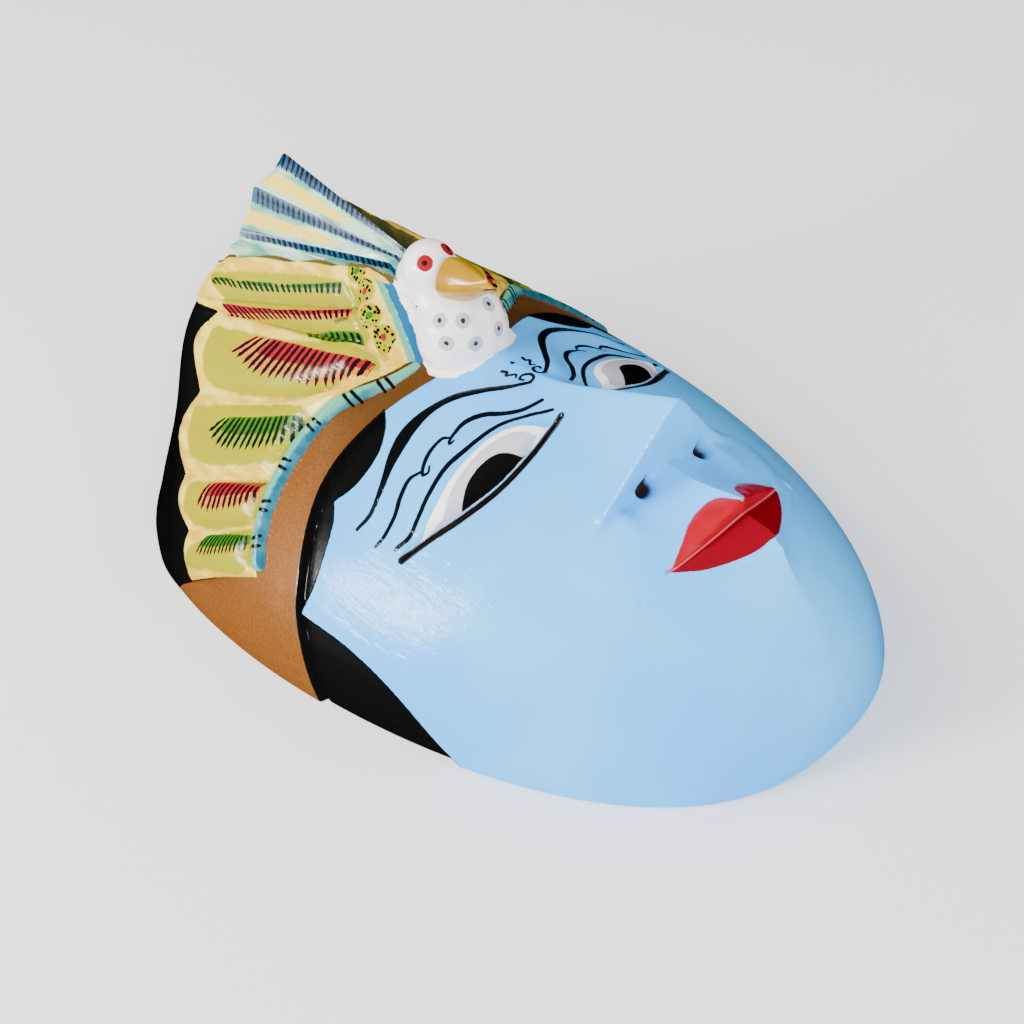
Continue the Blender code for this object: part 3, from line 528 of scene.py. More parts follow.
def tick_distance(points):
    """Distance into the pairs of short black strokes across the bead."""
    bead_line = on_form(smooth_curve(BEAD, 8))
    ticks = []
    for place in TICKS:
        k = int(np.argmin(np.linalg.norm(bead_line - np.array(place), axis=1)))
        along = unit(bead_line[min(k + 1, len(bead_line) - 1)] - bead_line[k - 1])
        across = unit(np.cross(along, unit(bead_line[k])))
        for shift, lean in ((-1.1, 0.5), (1.1, 0.2)):
            base = bead_line[k] + along * shift
            half = 1.3 * across - lean * along
            tick = on_form(smooth_curve(np.array([base - half, base + half]), 6))
            ticks.append(distance_to_curve(points, tick, TICK_WIDTHS))
    return np.min(ticks, axis=0)


# How near a detail the mesh is refined, step after step
REFINEMENTS = ((1.5, detail_distance), (0.48, detail_distance), (0.5, brush_distance))


def refined_half():
    """Directions and triangles of the +X half of the front, finer along its details."""
    blank = bmesh.new()
    bmesh.ops.create_icosphere(blank, subdivisions=7, radius=1.0)
    for normal in ((1, 0, 0), (0, 0, 1)):
        everything = blank.verts[:] + blank.edges[:] + blank.faces[:]
        bmesh.ops.bisect_plane(blank, geom=everything, plane_co=(0, 0, 0), plane_no=normal,
                               clear_inner=True)
    bmesh.ops.remove_doubles(blank, verts=blank.verts, dist=0.004)
    for vertex in blank.verts:
        vertex.co.x = 0.0 if vertex.co.x < 0.004 else vertex.co.x
        vertex.co.z = 0.0 if vertex.co.z < 0.004 else vertex.co.z
    flat = [face for face in blank.faces
            if 0.0 in (max(v.co.x for v in face.verts), max(v.co.z for v in face.verts))]
    bmesh.ops.delete(blank, geom=flat, context="FACES")
    bmesh.ops.triangulate(blank, faces=blank.faces)
    for margin, distance_to in REFINEMENTS:
        directions = unit(np.array([vertex.co[:] for vertex in blank.verts]))
        near = distance_to(on_form(directions)) < margin
        blank.edges.ensure_lookup_table()
        chosen = [e for e in blank.edges if near[e.verts[0].index] or near[e.verts[1].index]]
        bmesh.ops.subdivide_edges(blank, edges=chosen, cuts=1)
        bmesh.ops.triangulate(blank, faces=blank.faces)
    mesh = bpy.data.meshes.new("half")
    blank.to_mesh(mesh)
    blank.free()
    directions = unit(np.array([vertex.co[:] for vertex in mesh.vertices]))
    faces = np.array([polygon.vertices[:] for polygon in mesh.polygons])
    bpy.data.meshes.remove(mesh)
    return directions, faces


def mesh_of(name, points, faces):
    mesh = bpy.data.meshes.new(name)
    corners = [list(map(int, face)) for face in faces]
    mesh.from_pydata((np.asarray(points) * MM).tolist(), [], corners)
    mesh.validate()
    made = bmesh.new()
    made.from_mesh(mesh)
    bmesh.ops.recalc_face_normals(made, faces=made.faces)
    made.to_mesh(mesh)
    made.free()
    return mesh


def add_object(name, mesh):
    item = bpy.data.objects.new(name, mesh)
    bpy.context.scene.collection.objects.link(item)
    return item


def applied(item, *cutters):
    """Applies the item's modifiers, then removes the shapes that only cut it."""
    graph = bpy.context.evaluated_depsgraph_get()
    mesh = bpy.data.meshes.new_from_object(item.evaluated_get(graph))
    item.modifiers.clear()
    item.data = mesh
    for cutter in cutters:
        bpy.data.objects.remove(cutter)


def cut_by(item, cutter, operation="DIFFERENCE"):
    step = item.modifiers.new("cut", "BOOLEAN")
    step.operation = operation
    step.solver = "EXACT"
    step.object = cutter


def rim_loop(directions):
    """The half's vertices along z = 0, in order from the chin to the crown."""
    on_rim = np.flatnonzero(directions[:, 2] < 1e-6)
    return on_rim[np.argsort(directions[on_rim, 1])]


def whole_front():
    """A closed solid of the front: both halves and a flat underside."""
    directions, faces = refined_half()
    points = directions * front(directions)[:, None]
    count = len(points)
    middle = points[:, 0] == 0.0
    twin = np.where(middle, np.arange(count), count + np.cumsum(~middle) - 1)
    everything = np.vstack([points, points[~middle] * MIRROR])
    outward = unit(everything)
    everything -= outward * gouge(outward * form(outward)[:, None])[:, None]
    everything = np.vstack([everything, [[0.0, 0.0, 0.0]]])
    rim = rim_loop(directions)
    ring = np.concatenate([rim, twin[rim[::-1][1:-1]]])
    hub = len(everything) - 1
    floor = [(hub, a, b) for a, b in zip(ring, np.roll(ring, -1))]
    return mesh_of("mask_body", everything, [*faces, *twin[faces][:, ::-1], *floor])


def hollow_cutter():
    cutter = bmesh.new()
    bmesh.ops.create_icosphere(cutter, subdivisions=6, radius=1.0)
    sphere = np.array([vertex.co[:] for vertex in cutter.verts])
    height = sphere[:, 2] + 0.0047
    directions = unit(sphere * [1.0, 1.0, 0.0] + np.outer(np.maximum(height, 0.0), [0.0, 0.0, 1.0]))
    points = directions * hollow(directions)[:, None]
    floor = height < 0.0
    points[floor] *= np.linalg.norm(sphere[floor, :2], axis=1)[:, None]
    points[floor, 2] = -9.0 * np.minimum(-height[floor] / 0.05, 1.0)
    for vertex, point in zip(cutter.verts, points * MM):
        vertex.co = point
    mesh = bpy.data.meshes.new("hollow_cutter")
    cutter.to_mesh(mesh)
    cutter.free()
    return add_object("hollow_cutter", mesh)


def slit_cutter(side):
    line_points = on_form(smooth_curve(EYE_SLIT, 5))
    rings = []
    last = len(line_points) - 1
    for k, point in enumerate(line_points):
        onward = unit(line_points[min(k + 1, last)] - line_points[max(k - 1, 0)])
        outward = unit(point)
        across = unit(np.cross(onward, outward))
        half = 0.75 * np.sin(np.pi * (0.04 + 0.92 * k / last)) ** 0.5
        corners = [(half, 8.0), (-half, 8.0), (-half, -20.0), (half, -20.0)]
        rings.append([(point + across * a + outward * b) * side for a, b in corners])
    blade = bmesh.new()
    made = [[blade.verts.new(corner * MM) for corner in ring] for ring in rings]
    for first, second in zip(made, made[1:]):
        for k in range(4):
            after = (k + 1) % 4
            blade.faces.new((first[k], first[after], second[after], second[k]))
    blade.faces.new(made[0])
    blade.faces.new(made[-1])
    bmesh.ops.triangulate(blade, faces=blade.faces)
    bmesh.ops.recalc_face_normals(blade, faces=blade.faces)
    mesh = bpy.data.meshes.new("slit_cutter")
    blade.to_mesh(mesh)
    blade.free()
    return add_object("slit_cutter", mesh)


def vertex_array(mesh):
    flat = np.empty(3 * len(mesh.vertices))
    mesh.vertices.foreach_get("co", flat)
    return flat.reshape(-1, 3) / MM


def store(mesh, name, values):
    layer = mesh.attributes.new(name, "FLOAT", "POINT")
    layer.data.foreach_set("value", np.asarray(values, np.float32))


def lengths_along(curve):
    """Share of the curve's length up to each of its points."""
    lengths = np.concatenate([[0.0], np.cumsum(np.linalg.norm(np.diff(curve, axis=0), axis=1))])
    return lengths / lengths[-1]


def along_rows(points, starts, ends):
    """Share along a row of strokes and share along the stroke, for each point."""
    first, second = on_form(smooth_curve(starts, 8)), on_form(smooth_curve(ends, 8))
    a_rows, b_rows = [lengths_along(curve) for curve in (first, second)]
    outward = unit(points)

    def pair(share):
        a = np.stack([np.interp(share, a_rows, first[:, k]) for k in range(3)], 1)
        b = np.stack([np.interp(share, b_rows, second[:, k]) for k in range(3)], 1)
        beyond = share - np.clip(share, 0.0, 1.0)
        run = (first[-1] - first[0]) * beyond[:, None]
        return a + run, b + run

    def side(share):
        a, b = pair(share)
        return (np.cross(points - a, b - a) * outward).sum(1)

    low, high = np.full(len(points), -0.15), np.full(len(points), 1.15)
    sign = np.sign(side(high))
    for _ in range(16):
        middle = (low + high) / 2
        over = np.sign(side(middle)) == sign
        low, high = np.where(over, low, middle), np.where(over, middle, high)
    share = (low + high) / 2
    a, b = pair(share)
    reach = ((points - a) * (b - a)).sum(1) / ((b - a) ** 2).sum(1)
    length = np.linalg.norm(first[-1] - first[0])
    width = np.linalg.norm(b - a, axis=1)
    sides = [share * length, (1 - share) * length, reach * width, (1 - reach) * width]
    into = np.minimum.reduce(sides)
    return share, reach, into


def hatch_fields(points):
    """For each point: its place in a row of strokes and along a stroke, and the row's colours."""
    fields = {"hatch_at": 0.0, "hatch_reach": -1.0, "hatch_in": -3.0, "hatch_red": 0.0,
              "hatch_dark": 0.5, "hatch_from": 0.0}
    fields = {key: np.full(len(points), value) for key, value in fields.items()}
    for starts, ends, count, red, dark, begin in HATCHES:
        spots = np.vstack([starts, ends])
        low, high = spots.min(0) - 6, spots.max(0) + 6
        near = np.flatnonzero(((points > low) & (points < high)).all(1))
        share, reach, into = along_rows(points[near], starts, ends)
        into = into + 0.45
        better = into > fields["hatch_in"][near]
        chosen = near[better]
        fields["hatch_at"][chosen] = share[better] * count
        fields["hatch_reach"][chosen] = reach[better]
        fields["hatch_in"][chosen] = into[better]
        fields["hatch_red"][chosen] = red
        fields["hatch_dark"][chosen] = dark
        fields["hatch_from"][chosen] = begin * count
    return fields


def spots_distance(points, centres, radius):
    gaps = [np.linalg.norm(points - centre, axis=1) - radius for centre in on_form(centres)]
    return -np.min(gaps, axis=0)


def spot_fields(points):
    """Four small yellow panels beside the collar with a green or a red blob in each."""
    green = spots_distance(points, SPOT_COLUMN[::2], 0.95)
    red = spots_distance(points, SPOT_COLUMN[1::2], 0.85)
    centres = on_form(SPOT_COLUMN)
    panel = 3.1 - np.min([np.linalg.norm(points - centre, axis=1) for centre in centres], axis=0)
    return green, red, panel


def paint_mask(mesh):
    """Stores how far each point of the mask's skin lies inside each painted area."""
    points = vertex_array(mesh)
    directions = unit(np.where(points[:, 2:] < 0, points * [1, 1, 0], points))
    halves = folded(directions)
    distance = form(halves)
    skin = halves * distance[:, None]
    whole_skin = skin * np.where(points[:, :1] < 0, MIRROR, 1.0)
    depth = distance + relief(skin) - gouge(whole_skin) - np.linalg.norm(points, axis=1)
    store(mesh, "depth", depth)
    hair = area(skin, hair_outline())
    wing = area(skin, wing_outline())
    gold = area(skin, [BAND_LOWER, GOLD_FOOT[::-1], WING_FOOT[::-1], WING_INNER[::-1]])
    crown = np.where(skin[:, 1] > 42.0, -np.maximum(wing, gold), -14.0)
    store(mesh, "p_hair", np.maximum(hair, crown))
    store(mesh, "p_gold", gold)
    store(mesh, "p_wing", wing)
    # The valley between the wings and a strip along each ridge's inner edge, which are painted darker as
    # painted shade
    ridge = np.interp(skin[:, 1], (26.0, 86.0), (RIDGE_NECK[0], RIDGE_CROWN[0]))
    store(mesh, "p_valley", np.minimum(ridge + 0.5 - skin[:, 0], skin[:, 1] - 22.0))
    store(mesh, "p_olive_shade", skin[:, 0] - ridge + 1.6)
    store(mesh, "p_yellow", np.max([area(skin, [outline], 3) for outline in YELLOW], axis=0))
    store(mesh, "p_bead", -line(skin, BEAD, BEAD_WIDTHS))
    store(mesh, "p_bead_inner", line(skin, WING_INNER) - 2.4)
    store(mesh, "p_white", area(skin, [WHITE_GROUND, [(0.0, -4.4, 67.2), (0.0, 27.0, 84.0)]]))
    store(mesh, "p_blue", area(skin, [BLUE_EDGE, WHITE_GROUND[1:5][::-1]]))
    store(mesh, "p_seafoam", area(skin, [SEAFOAM_EDGE, BLUE_EDGE[::-1]]))
    brow = area(skin, [BROW_TOP, BROW_LOW])
    strokes = np.min([line(skin, curve, widths=half) for curve, *half in STROKES], axis=0)
    dot = spots_distance(skin, [(0.0, -10.3, 67.2)], 0.75)
    green, red, panel = spot_fields(skin)
    store(mesh, "p_black", np.maximum.reduce([brow, -strokes, dot, -tick_distance(skin)]))
    store(mesh, "p_spot_green", green)
    store(mesh, "p_spot_red", red)
    store(mesh, "p_panel", panel)
    store(mesh, "p_eye_white", area(skin, [EYE_WHITE, EYE_FLOOR]))
    store(mesh, "p_eye_grey", area(skin, [EYE_GREY, EYE_FLOOR[1:-1]]))
    store(mesh, "p_pupil", area(skin, [EYE_PUPIL, EYE_FLOOR[2:5]]))
    store(mesh, "p_slit", 1.35 - line(skin, EYE_SLIT))
    lips = lips_inside(whole_skin, LIP_UPPER, LIP_UPPER_FAR)
    store(mesh, "p_lips", lips)
    lower_lip = lips_inside(whole_skin, MOUTH_LINE, MOUTH_LINE)
    store(mesh, "p_lower_lip", np.minimum(lips + 1.0, lower_lip))
    store(mesh, "p_mouth_line", line(skin, MOUTH_LINE))
    store(mesh, "p_nostril", 0.1 - nostril_distance(whole_skin))
    scratches = [distance_to_curve(points, np.array(ends), SCRATCH_WIDTHS) for ends in SCRATCHES]
    store(mesh, "p_scratch", -np.min(scratches, axis=0))
    for name, values in hatch_fields(skin).items():
        store(mesh, name, values)
    return depth


def map_mask(mesh, depth):
    """Lays the outside over most of the texture square and the inside in its corner."""
    points = vertex_array(mesh)
    chart = unrolled(np.where(points[:, 2:] < 0, points * [1, 1, 0], points)) / np.pi
    corners = np.empty(len(mesh.loops), np.int32)
    mesh.loops.foreach_get("vertex_index", corners)
    totals = np.empty(len(mesh.polygons), np.int32)
    mesh.polygons.foreach_get("loop_total", totals)
    face = np.repeat(np.arange(len(totals)), totals)
    deepest = np.zeros(len(totals))
    np.maximum.at(deepest, face, depth[corners])
    outer = deepest[face] < 0.6
    place = np.where(outer[:, None], 0.43 + 0.85 * chart[corners], 0.855 + 0.27 * chart[corners])
    layer = mesh.uv_layers.new(name="OFBake")
    layer.data.foreach_set("uv", place.astype(np.float32).ravel())


def srgb(red, green, blue):
    values = np.array([red, green, blue]) / 255.0
    linear = np.where(values <= 0.04045, values / 12.92, ((values + 0.055) / 1.055) ** 2.4)
    return (*linear.tolist(), 1.0)


WOBBLE_SCALE = 900.0


class Paint:
    """A painted material, built up layer over layer."""

    def __init__(self, name, colour, rough, metal=0.0):
        self.material = bpy.data.materials.new(name)
        self.material.use_nodes = True
        self.tree = self.material.node_tree
        self.shader = self.tree.nodes["Principled BSDF"]
        self.place = self.add("ShaderNodeTexCoord").outputs["Object"]
        self.colour, self.rough, self.metal = colour, rough, metal
        self.wobble = None

    def add(self, kind, **settings):
        node = self.tree.nodes.new(kind)
        for key, value in settings.items():
            setattr(node, key, value)
        return node

    def put(self, socket, value):
        if isinstance(value, bpy.types.NodeSocket):
            self.tree.links.new(value, socket)
        else:
            socket.default_value = value

    def math(self, operation, first, second=0.0, third=0.0, clamp=False):
        node = self.add("ShaderNodeMath", operation=operation, use_clamp=clamp)
        for socket, value in zip(node.inputs, (first, second, third)):
            self.put(socket, value)
        return node.outputs[0]

    def axis(self, index):
        node = self.add("ShaderNodeSeparateXYZ")
        self.put(node.inputs[0], self.place)
        return node.outputs[index]

    def field(self, name):
        return self.add("ShaderNodeAttribute", attribute_name=name).outputs["Fac"]

    def noise(self, scale, detail=2.0, stretch=(1.0, 1.0, 1.0), rough=0.5):
        mapping = self.add("ShaderNodeMapping")
        self.put(mapping.inputs["Vector"], self.place)
        mapping.inputs["Scale"].default_value = stretch
        node = self.add("ShaderNodeTexNoise")
        self.put(node.inputs["Vector"], mapping.outputs[0])
        node.inputs["Scale"].default_value = scale
        node.inputs["Detail"].default_value = detail
        node.inputs["Roughness"].default_value = rough
        return node.outputs["Fac"]

    def span(self, value, low, high, start=0.0, end=1.0):
        node = self.add("ShaderNodeMapRange", interpolation_type="SMOOTHSTEP")
        for socket, amount in zip(node.inputs, (value, low, high, start, end)):
            self.put(socket, amount)
        return node.outputs[0]

    def mix(self, share, first, second):
        node = self.add("ShaderNodeMix", data_type="RGBA")
        self.put(node.inputs[0], share)
        self.put(node.inputs[6], first)
        self.put(node.inputs[7], second)
        return node.outputs[2]

    def blend(self, share, first, second):
        node = self.add("ShaderNodeMix", data_type="FLOAT")
        self.put(node.inputs[0], share)
        self.put(node.inputs[2], first)
        self.put(node.inputs[3], second)
        return node.outputs[0]

    def wavy(self, field, amount, noise=None):
        if self.wobble is None:
            self.wobble = self.noise(WOBBLE_SCALE)
        wave = self.math("SUBTRACT", self.wobble if noise is None else noise, 0.5)
        return self.math("MULTIPLY_ADD", wave, amount, field)

    def layer(self, share, colour, rough=None, metal=None):
        self.colour = self.mix(share, self.colour, colour)
        if rough is not None:
            self.rough = self.blend(share, self.rough, rough)
        if metal is not None:
            self.metal = self.blend(share, self.metal, metal)

    def varied(self, first, second, noise, low=0.4, high=0.6):
        return self.mix(self.span(noise, low, high), first, second)

    def times(self, *values):
        product = values[0]
        for value in values[1:]:
            product = self.math("MULTIPLY", product, value)
        return product

    def less(self, first, second):
        return self.math("SUBTRACT", first, second)

    def dots(self, scale):
        """Distance to the nearest of many small scattered spots."""
        node = self.add("ShaderNodeTexVoronoi", feature="F1")
        self.put(node.inputs["Vector"], self.place)
        node.inputs["Scale"].default_value = scale
        return node.outputs["Distance"]

    def strokes(self, at, index, shift, bend, half):
        """Cover of brush strokes, one in each whole step of a field along their row."""
        centre = self.less(self.less(at, index), self.math("ADD", shift, 0.5))
        gap = self.math("ABSOLUTE", self.math("ADD", centre, bend))
        return self.span(self.less(gap, half), 0.03, -0.03)

    def coat(self, weight, rough):
        self.put(self.shader.inputs["Coat Weight"], weight)
        self.shader.inputs["Coat Roughness"].default_value = rough

    def finish(self, bump=None, strength=0.3, distance=0.001):
        self.put(self.shader.inputs["Base Color"], self.colour)
        self.put(self.shader.inputs["Roughness"], self.rough)
        self.put(self.shader.inputs["Metallic"], self.metal)
        if bump is not None:
            node = self.add("ShaderNodeBump")
            node.inputs["Strength"].default_value = strength
            node.inputs["Distance"].default_value = distance
            self.put(node.inputs["Height"], bump)
            self.put(self.shader.inputs["Normal"], node.outputs[0])
        return self.material


# Paints
BLACK = srgb(10, 9, 10)
HAIR = srgb(9, 9, 9)
WOOD = srgb(150, 112, 74)
FACE_DEEP = srgb(54, 170, 255)
FACE_PALE = srgb(84, 188, 255)
GOLD = srgb(130, 78, 26)
GOLD_DEEP = srgb(112, 64, 18)
GOLD_IN_SHADE = srgb(66, 44, 14)
CREAM = srgb(218, 172, 48)
CREAM_PALE = srgb(234, 208, 84)
YELLOW_PAINT = srgb(156, 150, 0)
YELLOW_DEEP = srgb(158, 142, 0)
YELLOW_GREEN = srgb(124, 156, 6)
ORANGE_PALE = srgb(206, 116, 34)
GREEN = srgb(44, 110, 8)
RED = srgb(156, 4, 26)
LIP_PALE = srgb(160, 10, 34)
LIP = srgb(118, 0, 20)
LIP_HIGHLIGHT = srgb(200, 90, 98)
TEAL = srgb(14, 88, 112)
TEAL_PALE = srgb(34, 108, 128)
SEAFOAM = srgb(80, 160, 136)
BLUE = srgb(6, 92, 136)
WHITE = srgb(250, 247, 244)
EYE_GREY_PAINT = srgb(184, 178, 186)
VALLEY = srgb(48, 36, 20)
OLIVE_SHADE = srgb(84, 74, 26)
SLIT = srgb(36, 24, 20)
NOSTRIL_SHADE = srgb(54, 40, 34)
HATCH_BLACK = srgb(22, 14, 16)
SCRATCH = srgb(70, 100, 130)


def mask_paint():
    paint = Paint("painted_mask", srgb(160, 196, 228), 0.28)
    broad = paint.noise(22.0, 2.0)
    streaks = paint.noise(260.0, 3.0, (1.0, 0.25, 1.0))
    fine = paint.noise(1600.0, 3.0)
    paint.colour = paint.varied(FACE_DEEP, FACE_PALE, broad, 0.25, 0.75)
    paint.colour = paint.mix(paint.span(streaks, 0.6, 0.8, 0.0, 0.3), paint.colour, FACE_PALE)
    edge = 0.12

    def shape(name, wave=0.25, shift=0.0, soft=edge):
        return paint.span(paint.wavy(paint.field(name), wave), shift - soft, shift + soft)

    # Eye
    paint.layer(shape("p_eye_white", 0.3), WHITE, 0.3)
    paint.layer(shape("p_eye_grey", 0.3, soft=0.2), EYE_GREY_PAINT, 0.3)
    paint.layer(shape("p_pupil", 0.3), BLACK, 0.25)
    # Lips, with a pale painted highlight along the mouth line
    upper = paint.varied(LIP_PALE, RED, streaks)
    paint.layer(shape("p_lips", 0.25), upper, 0.22)
    paint.layer(shape("p_lower_lip", 0.2), LIP, 0.2)
    mouth_line = paint.span(paint.field("p_mouth_line"), 0.34, 0.06)
    paint.layer(paint.times(mouth_line, shape("p_lips")), LIP_HIGHLIGHT, 0.2)
    # Gold band, mixed towards dark brown near the middle line as painted shade
    gold = paint.varied(GOLD, GOLD_DEEP, fine, 0.35, 0.7)
    sideways = paint.math("ABSOLUTE", paint.axis(0))
    gold = paint.mix(paint.span(sideways, 0.052, 0.02, 0.0, 0.75), gold, GOLD_IN_SHADE)
    paint.layer(shape("p_gold", 0.35, -0.5), gold, 0.4, 0.15)
    # Hair
    hair_share = shape("p_hair", 0.45, -0.3)
    paint.layer(hair_share, HAIR, 0.24, 0.0)
    # Wings
    wing = shape("p_wing", 0.35)
    cream = paint.varied(CREAM, CREAM_PALE, paint.noise(240.0, 3.0, (1.0, 0.4, 1.0)))
    paint.layer(wing, cream, 0.3, 0.0)
    yellow = paint.varied(YELLOW_PAINT, YELLOW_DEEP, streaks, 0.4, 0.8)
    soft_edge = paint.wavy(paint.field("p_yellow"), 1.8, paint.noise(420.0, 3.0))
    paint.layer(paint.times(paint.span(soft_edge, -1.5, -0.5), wing), yellow, 0.27)
    # Hatched rows: dark half, pale half, then the strokes
    into = paint.span(paint.wavy(paint.field("hatch_in"), 0.6), 0.1, 0.4)
    at, reach = paint.field("hatch_at"), paint.field("hatch_reach")
    red, dark = paint.field("hatch_red"), paint.field("hatch_dark")
    begun = paint.span(paint.less(at, paint.field("hatch_from")), -0.4, 0.4)
    pale_colour = paint.mix(red, YELLOW_GREEN, ORANGE_PALE)
    deep_colour = paint.mix(red, GREEN, RED)
    low_end = paint.span(paint.wavy(reach, 0.12), 1.0, 0.86)
    narrow = paint.math("LESS_THAN", dark, 0.58)
    paint.layer(paint.times(into, low_end, narrow), pale_colour, 0.28)
    upper_half = paint.span(paint.less(paint.wavy(reach, 0.1), dark), 0.05, -0.05)
    paint.layer(paint.times(into, upper_half, begun), deep_colour, 0.25)
    index = paint.math("FLOOR", at)
    random = paint.add("ShaderNodeTexWhiteNoise", noise_dimensions="1D")
    paint.put(random.inputs["W"], index)
    jitter = paint.times(paint.less(random.outputs["Value"], 0.5), 0.2)
    bend = paint.times(paint.less(paint.wobble, 0.5), 0.25)
    taper = paint.times(paint.span(reach, -0.08, 0.1), paint.span(reach, 1.1, 0.8))
    stroke = paint.strokes(at, index, jitter, bend, paint.times(taper, 0.27))
    inside_row = paint.math("GREATER_THAN", paint.field("hatch_in"), 0.0)
    paint.layer(paint.times(stroke, inside_row), HATCH_BLACK, 0.25)
    # Bead
    bead = shape("p_bead", 0.3)
    teal = paint.varied(TEAL, TEAL_PALE, streaks)
    outer = paint.span(paint.wavy(paint.field("p_bead_inner"), 1.0), 1.1, 0.1)
    outer = paint.math("MAXIMUM", outer, paint.span(sideways, 0.027, 0.019))
    teal = paint.mix(outer, teal, SEAFOAM)
    paint.layer(bead, teal, 0.22, 0.0)
    # Spotted panels and the collar
    paint.layer(paint.times(shape("p_panel", 0.6, soft=0.3), wing), YELLOW_PAINT, 0.3)
    speck = paint.times(paint.span(paint.dots(840.0), 0.42, 0.36), shape("p_panel", 1.2))
    paint.layer(speck, BLACK, 0.25)
    paint.layer(shape("p_spot_green", 0.9), GREEN, 0.3)
    paint.layer(shape("p_spot_red", 0.9), RED, 0.3)
    # Painted shade: the gold-brown ground in the valley between the wings is painted dark brown, and the
    # cream along each ridge's inner edge is painted olive
    valley = paint.field("p_valley")
    paint.layer(paint.span(valley, -0.3, 0.3), VALLEY, 0.35, 0.0)
    olive = paint.times(paint.span(valley, -0.1, 0.1), shape("p_olive_shade", 0.6))
    paint.layer(olive, OLIVE_SHADE, 0.35, 0.0)
    paint.layer(shape("p_seafoam", 0.8), SEAFOAM, 0.27, 0.0)
    paint.layer(shape("p_blue", 0.5), BLUE, 0.25, 0.0)
    ragged = paint.noise(700.0, 3.0, (1.0, 0.5, 1.0))
    white_edge = paint.wavy(paint.field("p_white"), 1.6, ragged)
    paint.layer(paint.span(white_edge, -0.1, 0.1), WHITE, 0.32, 0.0)
    # Black lines, the slit's dark lip, and painted shade in the nostrils
    paint.layer(shape("p_black", 0.22), BLACK, 0.22)
    paint.layer(shape("p_scratch", 0.0, soft=0.1), SCRATCH, 0.35)
    paint.layer(shape("p_slit", 0.3, 0.35), SLIT, 0.35)
    paint.layer(shape("p_nostril", 0.3, soft=0.3), NOSTRIL_SHADE, 0.45)
    # Bare wood inside
    grain = paint.noise(130.0, 4.0, (1.0, 0.12, 1.0))
    wood = paint.varied(WOOD, srgb(118, 84, 54), grain, 0.35, 0.65)
    inner = paint.span(paint.field("depth"), 0.9, 1.6)
    paint.layer(inner, wood, 0.6, 0.0)
    ridges = paint.math("ADD", paint.times(streaks, 0.7), paint.times(fine, 0.12))
    ridges = paint.math("ADD", ridges, paint.times(broad, 1.2))
    paint.coat(paint.blend(hair_share, 0.4, 0.25), 0.08)
    paint.shader.inputs["Specular IOR Level"].default_value = 0.2
    coat_bump = paint.add("ShaderNodeBump")
    coat_bump.inputs["Strength"].default_value = 0.75
    coat_bump.inputs["Distance"].default_value = 0.0005
    brushed = paint.noise(420.0, 4.0, (1.0, 0.16, 0.6), 0.6)
    paint.put(coat_bump.inputs["Height"], brushed)
    paint.put(paint.shader.inputs["Coat Normal"], coat_bump.outputs[0])
    return paint.finish(ridges, 0.3, 0.0006)


def ball(centre, radii):
    made = bmesh.new()
    bmesh.ops.create_uvsphere(made, u_segments=48, v_segments=32, radius=1.0)
    points = np.array([vertex.co[:] for vertex in made.verts]) * radii + centre
    faces = [[vertex.index for vertex in face.verts] for face in made.faces]
    made.free()
    return points, faces


def bird_mesh():
    points, faces = [], []
    for centre, radii in (HEAD, BREAST, NECK, THROAT):
        part, part_faces = ball(centre, radii)
        shift = sum(len(piece) for piece in points)
        points.append(part)
        faces += [[index + shift for index in face] for face in part_faces]
    body = add_object("bird_body", mesh_of("bird_body", np.vstack(points), faces))
    merge = body.modifiers.new("merge", "REMESH")
    merge.mode = "VOXEL"
    merge.voxel_size = 0.0005
    smooth = body.modifiers.new("smooth", "SMOOTH")
    smooth.iterations = 40
    applied(body)
    return body


def beak_mesh():
    rows, ring = 28, 40
    share = np.linspace(0.0, 1.0, rows)
    angle = np.linspace(0.0, 2 * np.pi, ring, endpoint=False)
    points = []
    for s in share:
        middle = BEAK_ROOT + (BEAK_TIP - BEAK_ROOT) * s
        size = (1.0 - s) ** 0.85 * (1.0 + 0.22 * np.sin(np.pi * s)) + 0.03
        side = 4.9 * size * np.sign(np.cos(angle)) * np.abs(np.cos(angle)) ** 1.25
        up = 6.0 * size * np.sign(np.sin(angle)) * np.abs(np.sin(angle)) ** 1.25
        points.append(np.stack([side, np.zeros(ring), up], 1) + middle)
    points = np.vstack(points + [[BEAK_ROOT], [BEAK_TIP + [0, -0.3, 0]]])
    faces = []
    for r in range(rows - 1):
        for k in range(ring):
            after = (k + 1) % ring
            low, high = r * ring, (r + 1) * ring
            faces.append((low + k, low + after, high + after, high + k))
    last = (rows - 1) * ring
    faces += [(k, (k + 1) % ring, rows * ring) for k in range(ring)]
    faces += [(last + k, last + (k + 1) % ring, rows * ring + 1) for k in range(ring)]
    return add_object("bird_beak", mesh_of("bird_beak", points, faces))


